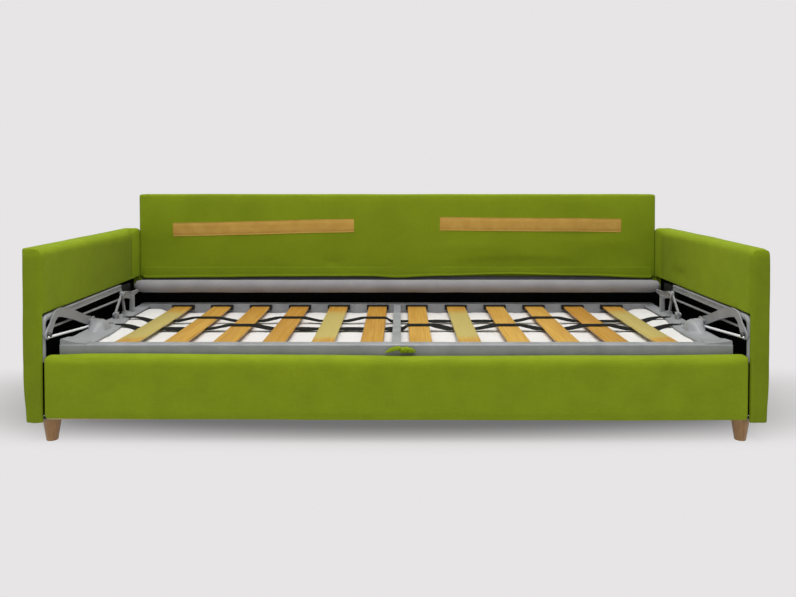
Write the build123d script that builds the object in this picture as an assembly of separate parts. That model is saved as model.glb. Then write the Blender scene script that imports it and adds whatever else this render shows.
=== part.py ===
from build123d import *
import math
import os

# Sofa bed with a deck that swings forward and turns over. Shown as a sofa: the slatted deck lies
# slats up in the base, with its mattress hanging under it, and the seat cushions are off.
# Millimetres, +Z up, front towards -Y. +X is towards the right end as seen from the front.
# The origin is on the floor, under the middle of the whole sofa.

# Overall
overall_width = 2200.0
overall_depth = 880.0
front_y = -overall_depth / 2
overrun = 5.0
seat_gap = 0.3
running_gap = 0.05
bonded_gap = 0.02

# Upholstered arms
arm_thickness = 56.0
arm_bottom = 60.0
arm_top = 572.0
arm_back_gap = 84.0
arm_depth = overall_depth - arm_back_gap
arm_skin = 8.0
arm_pad = 18.0
arm_pad_bottom = 382.0
arm_front_skin = 10.0
arm_rounding = 11.0
arm_outer = overall_width / 2
arm_inner = arm_outer - arm_thickness
arm_core_inner = arm_inner + arm_pad
arm_core_outer = arm_outer - arm_skin

# Front panel
panel_side_gap = 5.0
panel_half_width = arm_inner - panel_side_gap
panel_thickness = 45.0
panel_bottom = 70.0
base_bottom = panel_bottom
panel_top = 258.0
panel_skin = 7.0
panel_rounding = 20.0

# Backrest
back_thickness = 79.0
back_front = overall_depth - back_thickness
back_drop = 1.0
back_bottom = arm_pad_bottom - back_drop
back_lining_bottom = base_bottom
back_top = 713.0
back_skin = 8.0
back_rounding = 11.0
back_core_side = 10.0
back_board_thickness = 18.0
back_board_lift = 6.0
back_board_bottom = base_bottom + back_board_lift
back_post_width = 60.0
back_rail_height = 45.0

# Loose hem under the backrest
hem_side_gap = 14.0
hem_half_width = arm_inner - hem_side_gap
hem_thickness = 2.5
hem_height = 46.0
hem_drop = 7.0
hem_wave = 1.6
hem_waves = 14
hem_clearance = 0.4

# Hook-and-loop strips on the backrest
grip_outer_margin = 137.0
grip_inner_margin = 175.0
grip_length = arm_inner - grip_outer_margin - grip_inner_margin
grip_centre = grip_inner_margin + grip_length / 2
grip_width = 54.0
grip_thickness = 1.6
grip_right_shift = 3.5
grip_left_drop = 134.0
grip_right_drop = 122.0
grip_left_tilt = -1.3
grip_right_tilt = 0.6

# Base box
base_rail_overhang = 22.0
base_rail_inner = arm_inner - base_rail_overhang
base_rail_drop = 20.0
base_rail_top = panel_top - base_rail_drop
floor_thickness = 8.0
cross_rail_width = 40.0
cross_rail_height = 22.0
cross_rail_depth_shares = (0.3, 0.7)
rear_rail_lead = 12.0
rear_rail_front = back_front - rear_rail_lead
rear_rail_height = 270.0
rear_rail_top = base_bottom + rear_rail_height

# Feet
foot_inset_side = 12.0
foot_offset_x = arm_inner - foot_inset_side
foot_inset_front = 38.5
foot_inset_back = 52.0
foot_top_radius = 27.0
foot_bottom_radius = 16.5
foot_plate_thickness = 2.0
foot_plate_size = 50.0
foot_bolt_radius = 4.0
foot_bolt_length = 34.0

# Fixed steel side frames
side_frame_lead = 4.0
side_frame_inner = arm_inner - side_frame_lead
side_frame_drop = 5.0
side_frame_top = arm_pad_bottom - side_frame_drop
side_rail_height = 21.0
side_rail_end_gap = 196.0
side_rail_back = arm_depth - side_rail_end_gap
side_leg_front = 11.0
side_leg_depth = 24.0
side_corner_radius = 30.0
side_corner_length = 60.0
side_strut_drop = 49.0
side_strut_bottom = side_frame_top - side_strut_drop
side_strut_height = 10.0
side_strut_width = 10.0
rear_bracket_length = 90.0
rear_bracket_back = side_rail_back + rear_bracket_length
rear_bracket_height = 49.0
rear_bracket_drop = 6.0
rear_bracket_top = side_frame_top - rear_bracket_drop
rear_bracket_bottom = rear_bracket_top - rear_bracket_height

# Swing arms. Depths are from the front face of the front panel.
pivot_depth = 22.0
pivot_rise = 60.0
pivot_height = panel_top + pivot_rise
hub_reach = 266.0
hub_depth = pivot_depth + hub_reach
hub_drop = 13.0
hub_height = pivot_height - hub_drop
arm_crest = 67.0
swing_plate = 5.0
swing_plate_gap = 1.5
swing_plate_at_pivot = side_frame_inner - swing_plate_gap - swing_plate
swing_plate_set = 8.5
swing_plate_at_hub = swing_plate_at_pivot - swing_plate_set
pivot_pin_radius = 8.0
pivot_head_radius = 12.0
pivot_head_thickness = 3.0
pivot_side_gap = 0.9
pivot_eye_radius = 14.0
hub_eye_radius = 17.0
pivot_pin_hold = 14.0
pivot_pin_reach = side_frame_inner + pivot_pin_hold
swing_fillet = 6.0
swing_outline_shares = (
    (-0.053, 0.0), (-0.026, 0.18), (0.011, 0.31), (0.064, 0.49), (0.094, 0.67), (0.124, 0.82),
    (0.173, 0.955), (0.286, 1.0), (0.417, 0.925), (0.643, 0.597), (0.902, 0.18), (1.03, 0.0),
    (0.97, -0.36), (0.767, -0.06), (0.624, 0.164), (0.489, 0.343), (0.346, 0.522), (0.226, 0.627),
    (0.165, 0.493), (0.135, 0.328), (0.105, 0.149), (0.056, -0.18),
)

# Chrome tie rods
rod_radius = 4.0
rod_eye_thickness = 8.0
rod_drop_at_pivot = 12.0
rod_drop_at_hub = 16.0

# Slatted deck
deck_hub_gap = 11.0
deck_half_length = swing_plate_at_hub - deck_hub_gap
deck_front_gap = 5.0
deck_front = panel_thickness + deck_front_gap
deck_back_gap = 25.0
deck_back = rear_rail_front - deck_back_gap
rail_height = 40.0
rail_wall = 2.0
rail_rise = 24.0
rail_top = panel_top + rail_rise
front_rail_depth = 38.0
rear_rail_depth = 40.0
rail_rounding = 4.0
end_rail_width = 70.0
end_rail_back_width = 39.0
end_rail_drop = 6.0
end_rail_top = rail_top - end_rail_drop
end_rail_height = 30.0
end_lap_length = 61.0
end_lap_back = deck_front + end_lap_length
end_lap_thickness = 3.0
centre_bar_width = 27.0
centre_bar_height = 16.0

slat_count_per_side = 6
slat_end_gap = 26.0
slat_pitch = (deck_half_length - end_rail_width - slat_end_gap) / slat_count_per_side
slat_first = slat_pitch / 2
slat_width = 72.0
slat_thickness = 8.0
slat_top = end_rail_top
slat_bow = 3.0
cap_width = 86.0
cap_height = 16.0
cap_depth = 20.0
cap_wall = 1.5
cap_gap = 0.3

# Hub brackets on the deck
hub_bracket_lead = 82.0
hub_bracket_front = hub_depth - hub_bracket_lead
hub_bracket_lag = 55.0
hub_bracket_back = hub_depth + hub_bracket_lag
hub_bracket_width = 56.0
hub_bracket_inner = deck_half_length - hub_bracket_width
hub_bracket_rounding = 8.0
hub_block_width = 42.0
hub_block_inner = deck_half_length - hub_block_width
hub_block_half_depth = 18.0
hub_boss_radius = 14.0
hub_boss_reach = 2.0
hub_pin_radius = 8.0
hub_pin_hold = 24.0
hub_pin_inner = deck_half_length - hub_pin_hold

# Place of the leg frame's pivot on the deck
leg_pivot_lag = 104.0
leg_pivot_depth = hub_bracket_back + leg_pivot_lag

# Elastic straps, woven through the slats: o passes over a slat and u under it
strap_thickness = 3.0
strap_margin = 5.0
strap_gap = 0.4
front_strap_lag = 20.0
front_strap_depth = hub_bracket_back + front_strap_lag
front_strap_width = 30.0
front_strap_weave = "uuouuu" + "ououou"
rear_strap_lag = 45.0
rear_strap_depth = leg_pivot_depth + rear_strap_lag
rear_strap_width = 25.0
rear_strap_weave = "uououo" + "uuuouu"
strap_end_gap = 17.0
strap_end = deck_half_length - strap_end_gap
strap_bolt_inset = 12.0
strap_bolt_x = strap_end - strap_bolt_inset
strap_bolt_radius = 4.0
strap_bolt_head_radius = 8.0
strap_bolt_head_thickness = 4.0

# Mattress
mattress_end_inset = 14.0
mattress_half_length = deck_half_length - mattress_end_inset
mattress_front_inset = 10.0
mattress_front = deck_front + mattress_front_inset
mattress_back_inset = 9.0
mattress_back = deck_back - mattress_back_inset
mattress_slat_gap = 17.0
mattress_top = slat_top - mattress_slat_gap
mattress_thickness = 144.0
mattress_bottom = mattress_top - mattress_thickness
mattress_rounding = 22.0
mattress_side_draw = 5.0
mattress_crown = 6.0
mattress_field_gap = 4.0
mattress_field_tuck = 10.0
mattress_field_rounding = 6.0
band_inset = 314.0
band_x = deck_half_length - band_inset
band_width = 40.0
band_thickness = 2.0
band_gap = 0.4

# Pull strap at the middle of the front rail
pull_strap_width = 22.0
pull_strap_thickness = 2.0
pull_strap_gap = 1.5
pull_strap_bottom = panel_top + pull_strap_gap
pull_strap_left = -34.0
pull_strap_right = 57.0
pull_loop_end = 12.0
pull_loop_rise = 14.0
pull_loop_bulge = 4.5
pull_knot_radii = (7.5, 5.5, 6.5)
pull_knot_overlap = 3.0

# Leg frame with the padded foot roll
roll_radius = 25.5
roll_inset = 39.0
roll_depth = deck_back - roll_inset
roll_gap = 45.5
roll_height = rail_top + roll_gap + roll_radius
roll_side_gap = 2.0
roll_half_length = side_frame_inner - roll_side_gap
roll_end_radius = 17.0
roll_rounding = 7.0
leg_tube_radius = 15.0
leg_tube_wall = 2.0
leg_tube_inset = 7.0
leg_tube_half_length = roll_half_length - leg_tube_inset
leg_pivot_rise = 18.0
leg_pivot_height = end_rail_top + leg_pivot_rise
leg_plate_inset = 21.0
leg_plate_inner = deck_half_length - leg_plate_inset
leg_plate = 8.0
leg_plate_gap = 0.5
leg_ring_radius = 21.0
strut_plate_inner = leg_plate_inner + leg_plate + leg_plate_gap
strut_plate = 6.0
strut_width = 12.0
strut_eye_radius = 9.0
apex_lag = 66.0
apex_depth = leg_pivot_depth + apex_lag
apex_rise = 84.0
apex_height = end_rail_top + apex_rise
strut_foot_lag = 23.0
strut_foot_depth = apex_depth + strut_foot_lag
strut_foot_rise = 15.0
strut_foot_height = end_rail_top + strut_foot_rise
leg_pin_radius = 5.0
leg_pin_head_radius = 8.0
leg_pin_head_thickness = 2.5
leg_lug_thickness = 7.0
leg_lug_gap = 0.5
leg_lug_inner = strut_plate_inner - leg_lug_gap - leg_lug_thickness
leg_lug_width = 26.0
apex_bolt_radius = 4.0
apex_bolt_head_radius = 7.0
rest_post_share = 0.373
rest_post_depth = apex_depth + (roll_depth - apex_depth) * rest_post_share
rest_post_width = 14.0
rest_post_length = 16.0
leg_plate_outline_shares = (
    (0.0, 1.0), (0.16, 1.25), (0.55, 0.75), (0.92, 0.5), (1.0, -0.3), (0.8, -0.95),
    (0.42, -0.85), (0.14, -0.6), (0.0, -0.2),
)
leg_plate_rise = 20.0


def at(depth):
    """Y of a place that lies this far behind the front face of the front panel."""
    return front_y + depth


def block(x0, x1, y0, y1, z0, z1):
    """Box between two corners."""
    centre = ((x0 + x1) / 2, (y0 + y1) / 2, (z0 + z1) / 2)
    return Pos(*centre) * Box(abs(x1 - x0), abs(y1 - y0), abs(z1 - z0))


def rod_x(radius, x0, x1, y, z):
    """Cylinder along X."""
    return Pos((x0 + x1) / 2, y, z) * Rot(0, 90, 0) * Cylinder(radius, abs(x1 - x0))


def rod_z(radius, z0, z1, x, y):
    """Cylinder along Z."""
    return Pos(x, y, (z0 + z1) / 2) * Cylinder(radius, abs(z1 - z0))


def plate_x(face, x0, x1):
    """Extrude a face drawn with local x as Y and local y as Z, from x0 to x1."""
    placed = Plane(origin=(min(x0, x1), 0, 0), x_dir=(0, 1, 0), z_dir=(1, 0, 0)) * face
    return extrude(placed, amount=abs(x1 - x0))


def outline(points):
    """Closed face through points."""
    return make_face(Polyline(*points, close=True))


def other_side(shape):
    """The same piece on the other end of the sofa."""
    return mirror(shape, Plane.YZ)


def save(name, *solids):
    """Write one sub-part, as one solid or as a group of separate solids."""
    parts = []
    for solid in solids:
        parts.extend(solid.solids())
    shape = parts[0] if len(parts) == 1 else Compound(children=parts)
    export_step(shape, os.path.join("parts", name + ".step"))


def save_pair(name, shape):
    """Write a piece at the right end and its mirror image at the left end, as seen from the front."""
    save(name + "_right", shape)
    save(name + "_left", other_side(shape))


def slat_centres():
    """X of every slat, from the left end to the right."""
    half = [slat_first + slat_pitch * step for step in range(slat_count_per_side)]
    return [-x for x in reversed(half)] + half


def slat_dip(depth):
    """How far the bowed slats lie below their ends at this depth."""
    front = deck_front + front_rail_depth
    back = deck_back - rear_rail_depth
    middle = (front + back) / 2
    half = (back - front) / 2
    share = (depth - middle) / half
    return slat_bow * (1 - share * share)


def build_arms():
    """Upholstered arm: a board with a padded cover that is left open below and inside."""
    cover = block(arm_inner, arm_outer, at(0), at(arm_depth), arm_bottom, arm_top)
    cover = fillet(cover.edges(), arm_rounding)
    core = block(arm_core_inner, arm_core_outer, at(arm_front_skin), at(arm_depth - arm_skin),
                 arm_bottom, arm_top - arm_skin)
    recess = block(arm_inner - overrun, arm_core_inner, at(arm_front_skin), at(arm_depth + overrun),
                   arm_bottom - overrun, arm_pad_bottom)
    save_pair("arm_cover", cover - core - recess)
    board = core & block(arm_core_inner, arm_core_outer, at(0), at(arm_depth),
                         arm_bottom + arm_skin, arm_top)
    save_pair("arm_board", board)


def build_front_panel():
    """Front panel with a rounded top: a board in a padded cover."""
    cover = block(-panel_half_width, panel_half_width, at(0), at(panel_thickness),
                  panel_bottom, panel_top)
    top_edges = cover.edges().filter_by(Axis.X).group_by(Axis.Z)[-1]
    cover = fillet(top_edges, panel_rounding)
    board = block(-panel_half_width + panel_skin, panel_half_width - panel_skin,
                  at(panel_skin), at(panel_thickness - panel_skin),
                  panel_bottom, panel_top - panel_rounding)
    save("front_panel_cover", cover - board)
    save("front_panel_board", board)


def build_backrest():
    """Backrest: board, posts and top rail in a padded cover, with two strips and a loose hem."""
    back_rear = overall_depth
    cover = block(-arm_inner, arm_inner, at(back_front), at(back_rear), back_lining_bottom, back_top)
    upper = cover.edges().filter_by(lambda e: e.center().Z > back_lining_bottom + overrun)
    cover = fillet(upper, back_rounding)
    core_half = arm_inner - back_core_side
    core_front = back_front + back_skin
    core_rear = back_rear - back_skin
    core_top = back_top - back_skin
    pocket = block(-core_half, core_half, at(core_front), at(core_rear),
                   back_lining_bottom - overrun, core_top)
    opening = block(-arm_inner - overrun, arm_inner + overrun, at(back_front - overrun), at(core_front),
                    back_lining_bottom - overrun, back_bottom)
    save("back_cover", cover - pocket - opening)
    board_rear = core_front + back_board_thickness
    save("back_board", block(-core_half, core_half, at(core_front), at(board_rear),
                             back_board_bottom, core_top))
    rail_bottom = core_top - back_rail_height
    side_post = core_half - back_post_width / 2
    posts = [block(x - back_post_width / 2, x + back_post_width / 2, at(board_rear), at(core_rear),
                   base_bottom, rail_bottom) for x in (-side_post, 0, side_post)]
    save("back_posts", *posts)
    save("back_top_rail", block(-core_half, core_half, at(board_rear), at(core_rear),
                                rail_bottom, core_top))
    places = (("left", -grip_centre, grip_left_drop, grip_left_tilt),
              ("right", grip_centre - grip_right_shift, grip_right_drop, grip_right_tilt))
    for name, x, drop, tilt in places:
        strip = Box(grip_length, grip_thickness, grip_width)
        place = Pos(x, at(back_front - grip_thickness / 2), back_top - drop) * Rot(0, tilt, 0)
        save("grip_strip_" + name, place * strip)


def build_hem():
    """Loose lower edge of the backrest cloth, hanging in shallow waves with an uneven bottom."""
    wave_length = 2 * hem_half_width / hem_waves
    edges = []
    rear = back_front - hem_clearance - hem_wave
    for side in (0, 1):
        arcs = []
        base = rear - side * hem_thickness
        for step in range(hem_waves):
            x0 = -hem_half_width + step * wave_length
            swell = hem_wave if step % 2 else -hem_wave
            arcs.append(ThreePointArc((x0, at(base)), (x0 + wave_length / 2, at(base + swell)),
                                      (x0 + wave_length, at(base))))
        edges.append(arcs)
    ends = [Line((x, at(rear)), (x, at(rear - hem_thickness))) for x in (-hem_half_width, hem_half_width)]
    band = make_face(Wire(edges[0] + [ends[1]] + edges[1] + [ends[0]]))
    top = back_bottom + hem_height - hem_drop
    cloth = extrude(Pos(0, 0, back_bottom - hem_drop) * band, amount=top - back_bottom + hem_drop)
    quarter = hem_half_width / 2
    low = back_bottom - hem_drop
    lift = hem_drop / 2
    lower = ((-hem_half_width - overrun, low - overrun), (-hem_half_width - overrun, low + lift),
             (-quarter, low), (0, low + lift), (quarter, low), (hem_half_width + overrun, low + lift),
             (hem_half_width + overrun, low - overrun))
    cutter = Plane.XZ * outline(lower)
    cutter = extrude(cutter, amount=overall_depth, both=True)
    save("back_hem", cloth - cutter)


def build_base():
    """Wooden box under the seat: side rails, rear rail, floor and two cross rails."""
    save_pair("base_rail", block(base_rail_inner, arm_core_inner, at(panel_thickness),
                                 at(rear_rail_front), base_bottom, base_rail_top))
    core_front = back_front + back_skin
    save("rear_rail", block(-arm_core_inner, arm_core_inner, at(rear_rail_front), at(arm_depth),
                            base_bottom, rear_rail_top)
         + block(-arm_inner, arm_inner, at(rear_rail_front), at(core_front), base_bottom, rear_rail_top))
    save("floor_panel", block(-base_rail_inner, base_rail_inner, at(panel_thickness),
                              at(rear_rail_front), base_bottom, base_bottom + floor_thickness))
    length = rear_rail_front - panel_thickness
    rails = []
    for share in cross_rail_depth_shares:
        middle = panel_thickness + length * share
        rails.append(block(-base_rail_inner, base_rail_inner, at(middle - cross_rail_width / 2),
                           at(middle + cross_rail_width / 2), base_bottom + floor_thickness,
                           base_bottom + floor_thickness + cross_rail_height))
    save("cross_rails", *rails)


def build_feet():
    """Tapered round feet, each on a steel plate with a bolt up into the base."""
    plate_bottom = base_bottom - foot_plate_thickness
    plates = []
    feet = []
    for depth in (foot_inset_front, overall_depth - foot_inset_back):
        cone = Solid.make_cone(foot_bottom_radius, foot_top_radius, plate_bottom)
        foot = Pos(foot_offset_x, at(depth), 0) * cone
        hole = rod_z(foot_bolt_radius, plate_bottom - foot_bolt_length / 2, plate_bottom + overrun,
                     foot_offset_x, at(depth))
        feet.extend([foot - hole, other_side(foot - hole)])
        plate = block(foot_offset_x - foot_plate_size / 2, foot_offset_x + foot_plate_size / 2,
                      at(depth - foot_plate_size / 2), at(depth + foot_plate_size / 2),
                      plate_bottom, base_bottom)
        bolt = rod_z(foot_bolt_radius, plate_bottom - foot_bolt_length / 2, plate_bottom,
                     foot_offset_x, at(depth))
        plates.extend([plate + bolt, other_side(plate + bolt)])
    save("feet", *feet)
    save("foot_plates", *plates)


def build_side_frames():
    """Steel side frame: bent front leg, top rail, thin lower strut and black rear bracket."""
    inner = side_frame_inner
    outer = arm_core_inner
    rail_bottom = side_frame_top - side_rail_height
    corner_end = side_leg_front + side_corner_length
    leg_back = side_leg_front + side_leg_depth
    leg = outline(((at(side_leg_front), base_rail_top), (at(side_leg_front), side_frame_top),
                   (at(corner_end), side_frame_top), (at(corner_end), rail_bottom),
                   (at(leg_back), rail_bottom), (at(leg_back), base_rail_top)))
    corner = leg.vertices().sort_by_distance(Vertex(at(side_leg_front), side_frame_top, 0))[0]
    leg = fillet(corner, side_corner_radius)
    bore = rod_x(pivot_pin_radius + bonded_gap, inner - overrun, pivot_pin_reach,
                 at(pivot_depth), pivot_height)
    save_pair("side_frame_leg", plate_x(leg, inner, outer) - bore)
    save_pair("side_frame_rail", block(inner, outer, at(corner_end), at(side_rail_back),
                                       rail_bottom, side_frame_top))
    strut_top = side_strut_bottom + side_strut_height
    strut = block(inner, inner + side_strut_width, at(leg_back), at(side_rail_back),
                  side_strut_bottom, strut_top)
    save("side_frame_struts", strut, other_side(strut))
    bracket = block(inner, outer, at(side_rail_back), at(rear_bracket_back),
                    rear_bracket_bottom, rear_bracket_top)
    save("rear_brackets", bracket, other_side(bracket))


def build_pivot_pins():
    """Pins that carry the swing arms on the side frame legs."""
    inner = swing_plate_at_pivot - rod_eye_thickness - pivot_side_gap
    pin = rod_x(pivot_pin_radius, inner, pivot_pin_reach, at(pivot_depth), pivot_height)
    head = rod_x(pivot_head_radius, inner - pivot_head_thickness, inner, at(pivot_depth), pivot_height)
    save("pivot_pins", pin + head, other_side(pin + head))


def build_swing_arms():
    """Gooseneck arm of flat plate, set a little out of line so that it clears deck and frame."""
    reach = hub_depth - pivot_depth
    points = [(at(pivot_depth + share_y * reach), pivot_height + share_z * arm_crest)
              for share_y, share_z in swing_outline_shares]
    face = outline(points)
    bends = face.vertices().filter_by(lambda v: v.Y > pivot_height + arm_crest / 2)
    face = fillet(bends, swing_fillet)
    blank = plate_x(face, swing_plate_at_hub - swing_plate, swing_plate_at_pivot + 2 * swing_plate)
    shift = swing_plate_at_pivot - swing_plate_at_hub
    slope = shift / reach
    near = swing_plate_at_pivot + slope * reach
    far = swing_plate_at_hub - slope * reach
    slab = make_face(Polyline((near, at(pivot_depth - reach)), (near + swing_plate, at(pivot_depth - reach)),
                              (far + swing_plate, at(hub_depth + reach)), (far, at(hub_depth + reach)),
                              close=True))
    arm = blank & extrude(slab, amount=2 * pivot_height)
    pivot_y = at(pivot_depth)
    hub_y = at(hub_depth)
    arm += rod_x(pivot_eye_radius, swing_plate_at_pivot, swing_plate_at_pivot + swing_plate,
                 pivot_y, pivot_height)
    arm += rod_x(hub_eye_radius, swing_plate_at_hub, swing_plate_at_hub + swing_plate,
                 hub_y, hub_height)
    arm -= rod_x(pivot_pin_radius + running_gap, swing_plate_at_hub, side_frame_inner + swing_plate,
                 pivot_y, pivot_height)
    arm -= rod_x(hub_pin_radius + running_gap, deck_half_length, side_frame_inner, hub_y, hub_height)
    save_pair("swing_arm", arm)

    pivot_eye = rod_x(pivot_eye_radius, swing_plate_at_pivot - rod_eye_thickness,
                      swing_plate_at_pivot, pivot_y, pivot_height)
    hub_eye = rod_x(hub_eye_radius, swing_plate_at_hub - rod_eye_thickness, swing_plate_at_hub,
                    hub_y, hub_height)
    start = Vector(swing_plate_at_pivot - rod_eye_thickness / 2, pivot_y, pivot_height - rod_drop_at_pivot)
    end = Vector(swing_plate_at_hub - rod_eye_thickness / 2, hub_y, hub_height - rod_drop_at_hub)
    run = Plane(origin=start, z_dir=end - start)
    rod = extrude(run * Circle(rod_radius), amount=(end - start).length)
    rod = rod + pivot_eye + hub_eye - arm
    rod -= rod_x(pivot_pin_radius + running_gap, deck_half_length, side_frame_inner,
                 pivot_y, pivot_height)
    rod -= rod_x(hub_pin_radius + running_gap, deck_half_length, side_frame_inner, hub_y, hub_height)
    save_pair("tie_rod", rod)


def build_deck_frame():
    """Steel rails of the slatted deck."""
    for name, y0, y1 in (("deck_front_rail", deck_front, deck_front + front_rail_depth),
                         ("deck_rear_rail", deck_back - rear_rail_depth, deck_back)):
        rail = block(-deck_half_length, deck_half_length, at(y0), at(y1), rail_top - rail_height, rail_top)
        long_edges = rail.edges().filter_by(Axis.X)
        outer = long_edges.sort_by(Axis.Y)
        outer = outer[:2] if name == "deck_front_rail" else outer[2:]
        bore = block(-deck_half_length - overrun, deck_half_length + overrun, at(y0 + rail_wall),
                     at(y1 - rail_wall), rail_top - rail_height + rail_wall, rail_top - rail_wall)
        save(name, fillet(outer, rail_rounding) - bore)
    y0 = deck_front + front_rail_depth
    y1 = deck_back - rear_rail_depth
    inner = deck_half_length - end_rail_width
    inner_at_back = deck_half_length - end_rail_back_width
    bottom = end_rail_top - end_rail_height
    face = make_face(Polyline((inner, at(y0)), (deck_half_length, at(y0)), (deck_half_length, at(y1)),
                              (inner_at_back, at(y1)), close=True))
    end_rail = Pos(0, 0, bottom) * extrude(face, amount=end_rail_height)
    end_rail -= block(inner - overrun, deck_half_length - rail_wall, at(y0 + rail_wall), at(y1 - rail_wall),
                      bottom - overrun, end_rail_top - rail_wall)
    lap_top = rail_top + end_lap_thickness
    end_rail += block(inner, deck_half_length, at(y0), at(end_lap_back), end_rail_top, lap_top)
    end_rail += block(inner, deck_half_length, at(deck_front + rail_rounding), at(end_lap_back),
                      rail_top, lap_top)
    save_pair("deck_end_rail", end_rail)
    save("deck_centre_bar", block(-centre_bar_width / 2, centre_bar_width / 2, at(y0), at(y1),
                                  rail_top - centre_bar_height, rail_top))


def build_slats():
    """Bowed beech slats, plugged into black caps on the front and rear rails."""
    y0 = deck_front + front_rail_depth
    y1 = deck_back - rear_rail_depth
    start = y0 + cap_wall + cap_gap
    end = y1 - cap_wall - cap_gap
    middle = (start + end) / 2
    bottom = slat_top - slat_thickness
    sides = (ThreePointArc((at(start), slat_top), (at(middle), slat_top - slat_bow), (at(end), slat_top)),
             Line((at(end), slat_top), (at(end), bottom)),
             ThreePointArc((at(end), bottom), (at(middle), bottom - slat_bow), (at(start), bottom)),
             Line((at(start), bottom), (at(start), slat_top)))
    slat = plate_x(make_face(Wire(sides)), -slat_width / 2, slat_width / 2)
    centres = slat_centres()
    save("slats_left", *[Pos(x, 0, 0) * slat for x in centres[:slat_count_per_side]])
    save("slats_right", *[Pos(x, 0, 0) * slat for x in centres[slat_count_per_side:]])

    half = slat_width / 2 + cap_gap
    cap_middle = slat_top - slat_thickness / 2
    for name, low, high, mouth in (("slat_caps_front", y0, y0 + cap_depth, y0 + cap_depth),
                                   ("slat_caps_rear", y1 - cap_depth, y1, y1 - cap_depth)):
        inward = overrun if mouth > low else -overrun
        wall = y0 + cap_wall if mouth > low else y1 - cap_wall
        cap = block(-cap_width / 2, cap_width / 2, at(low), at(high),
                    cap_middle - cap_height / 2, cap_middle + cap_height / 2)
        cap -= block(-half, half, at(wall), at(mouth + inward), bottom - cap_gap - slat_dip(mouth),
                     slat_top + cap_gap)
        save(name, *[Pos(x, 0, 0) * cap for x in centres])


def woven_strap(depth, width, weave):
    """Flat elastic strap that passes over or under each slat and lies on both end rails."""
    half_width = slat_width / 2 + strap_margin
    lift = strap_gap + strap_thickness / 2
    over = slat_top - slat_dip(depth) + lift
    under = slat_top - slat_thickness - slat_dip(depth) - lift
    end_level = end_rail_top + lift
    rail_edge = deck_half_length - end_rail_width - strap_margin
    line = [(-strap_end, end_level), (-rail_edge, end_level)]
    for x, way in zip(slat_centres(), weave):
        level = over if way == "o" else under
        line.append((x - half_width, level))
        line.append((x + half_width, level))
    line += [(rail_edge, end_level), (strap_end, end_level)]
    middle = len(line) // 2
    bar_side = centre_bar_width / 2 + strap_margin
    line[middle:middle] = [(-bar_side, under), (bar_side, under)]
    upper = [(x, z + strap_thickness / 2) for x, z in line]
    lower = [(x, z - strap_thickness / 2) for x, z in reversed(line)]
    face = Plane.XZ * outline(upper + lower)
    strap = Pos(0, at(depth), 0) * extrude(face, amount=width / 2, both=True)
    for side in (-1, 1):
        strap -= rod_z(strap_bolt_radius + strap_gap, end_rail_top - overrun, rail_top + overrun,
                       side * strap_bolt_x, at(depth))
    return strap


def build_straps():
    """The two woven straps and the bolts that hold their ends."""
    save("front_strap", woven_strap(front_strap_depth, front_strap_width, front_strap_weave))
    save("rear_strap", woven_strap(rear_strap_depth, rear_strap_width, rear_strap_weave))
    bolts = []
    head_bottom = end_rail_top + 2 * strap_gap + strap_thickness
    for depth in (front_strap_depth, rear_strap_depth):
        bolt = rod_z(strap_bolt_radius, end_rail_top, head_bottom, strap_bolt_x, at(depth))
        head = rod_z(strap_bolt_head_radius, head_bottom, head_bottom + strap_bolt_head_thickness,
                     strap_bolt_x, at(depth))
        bolts.extend([bolt + head, other_side(bolt + head)])
    save("strap_bolts", *bolts)


def build_hubs():
    """Pressed bracket on each end rail, with the pin that the swing arm turns on."""
    lower = Plane.XY.offset(end_rail_top) * Pos(
        (hub_bracket_inner + deck_half_length) / 2, at((hub_bracket_front + hub_bracket_back) / 2)
    ) * Rectangle(deck_half_length - hub_bracket_inner, hub_bracket_back - hub_bracket_front)
    upper = Plane.XY.offset(hub_height + hub_boss_radius) * Pos(
        (hub_block_inner + deck_half_length) / 2, at(hub_depth)
    ) * Rectangle(deck_half_length - hub_block_inner, 2 * hub_block_half_depth)
    bracket = loft([lower, upper], ruled=True)
    slanted = bracket.edges().filter_by(lambda e: abs(e.tangent_at(0.5).Z) > 0.1)
    bracket = fillet(slanted.sort_by(Axis.X)[:2], hub_bracket_rounding)
    bracket += rod_x(hub_boss_radius, hub_block_inner, deck_half_length + hub_boss_reach,
                     at(hub_depth), hub_height)
    bracket -= rod_x(hub_pin_radius + bonded_gap, hub_pin_inner, deck_half_length + 2 * overrun,
                     at(hub_depth), hub_height)
    save_pair("hub_bracket", bracket)
    outer = swing_plate_at_hub + swing_plate + pivot_side_gap
    pin = rod_x(hub_pin_radius, hub_pin_inner, outer, at(hub_depth), hub_height)
    pin += rod_x(pivot_head_radius, outer, outer + pivot_head_thickness, at(hub_depth), hub_height)
    save("hub_pins", pin, other_side(pin))


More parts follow.
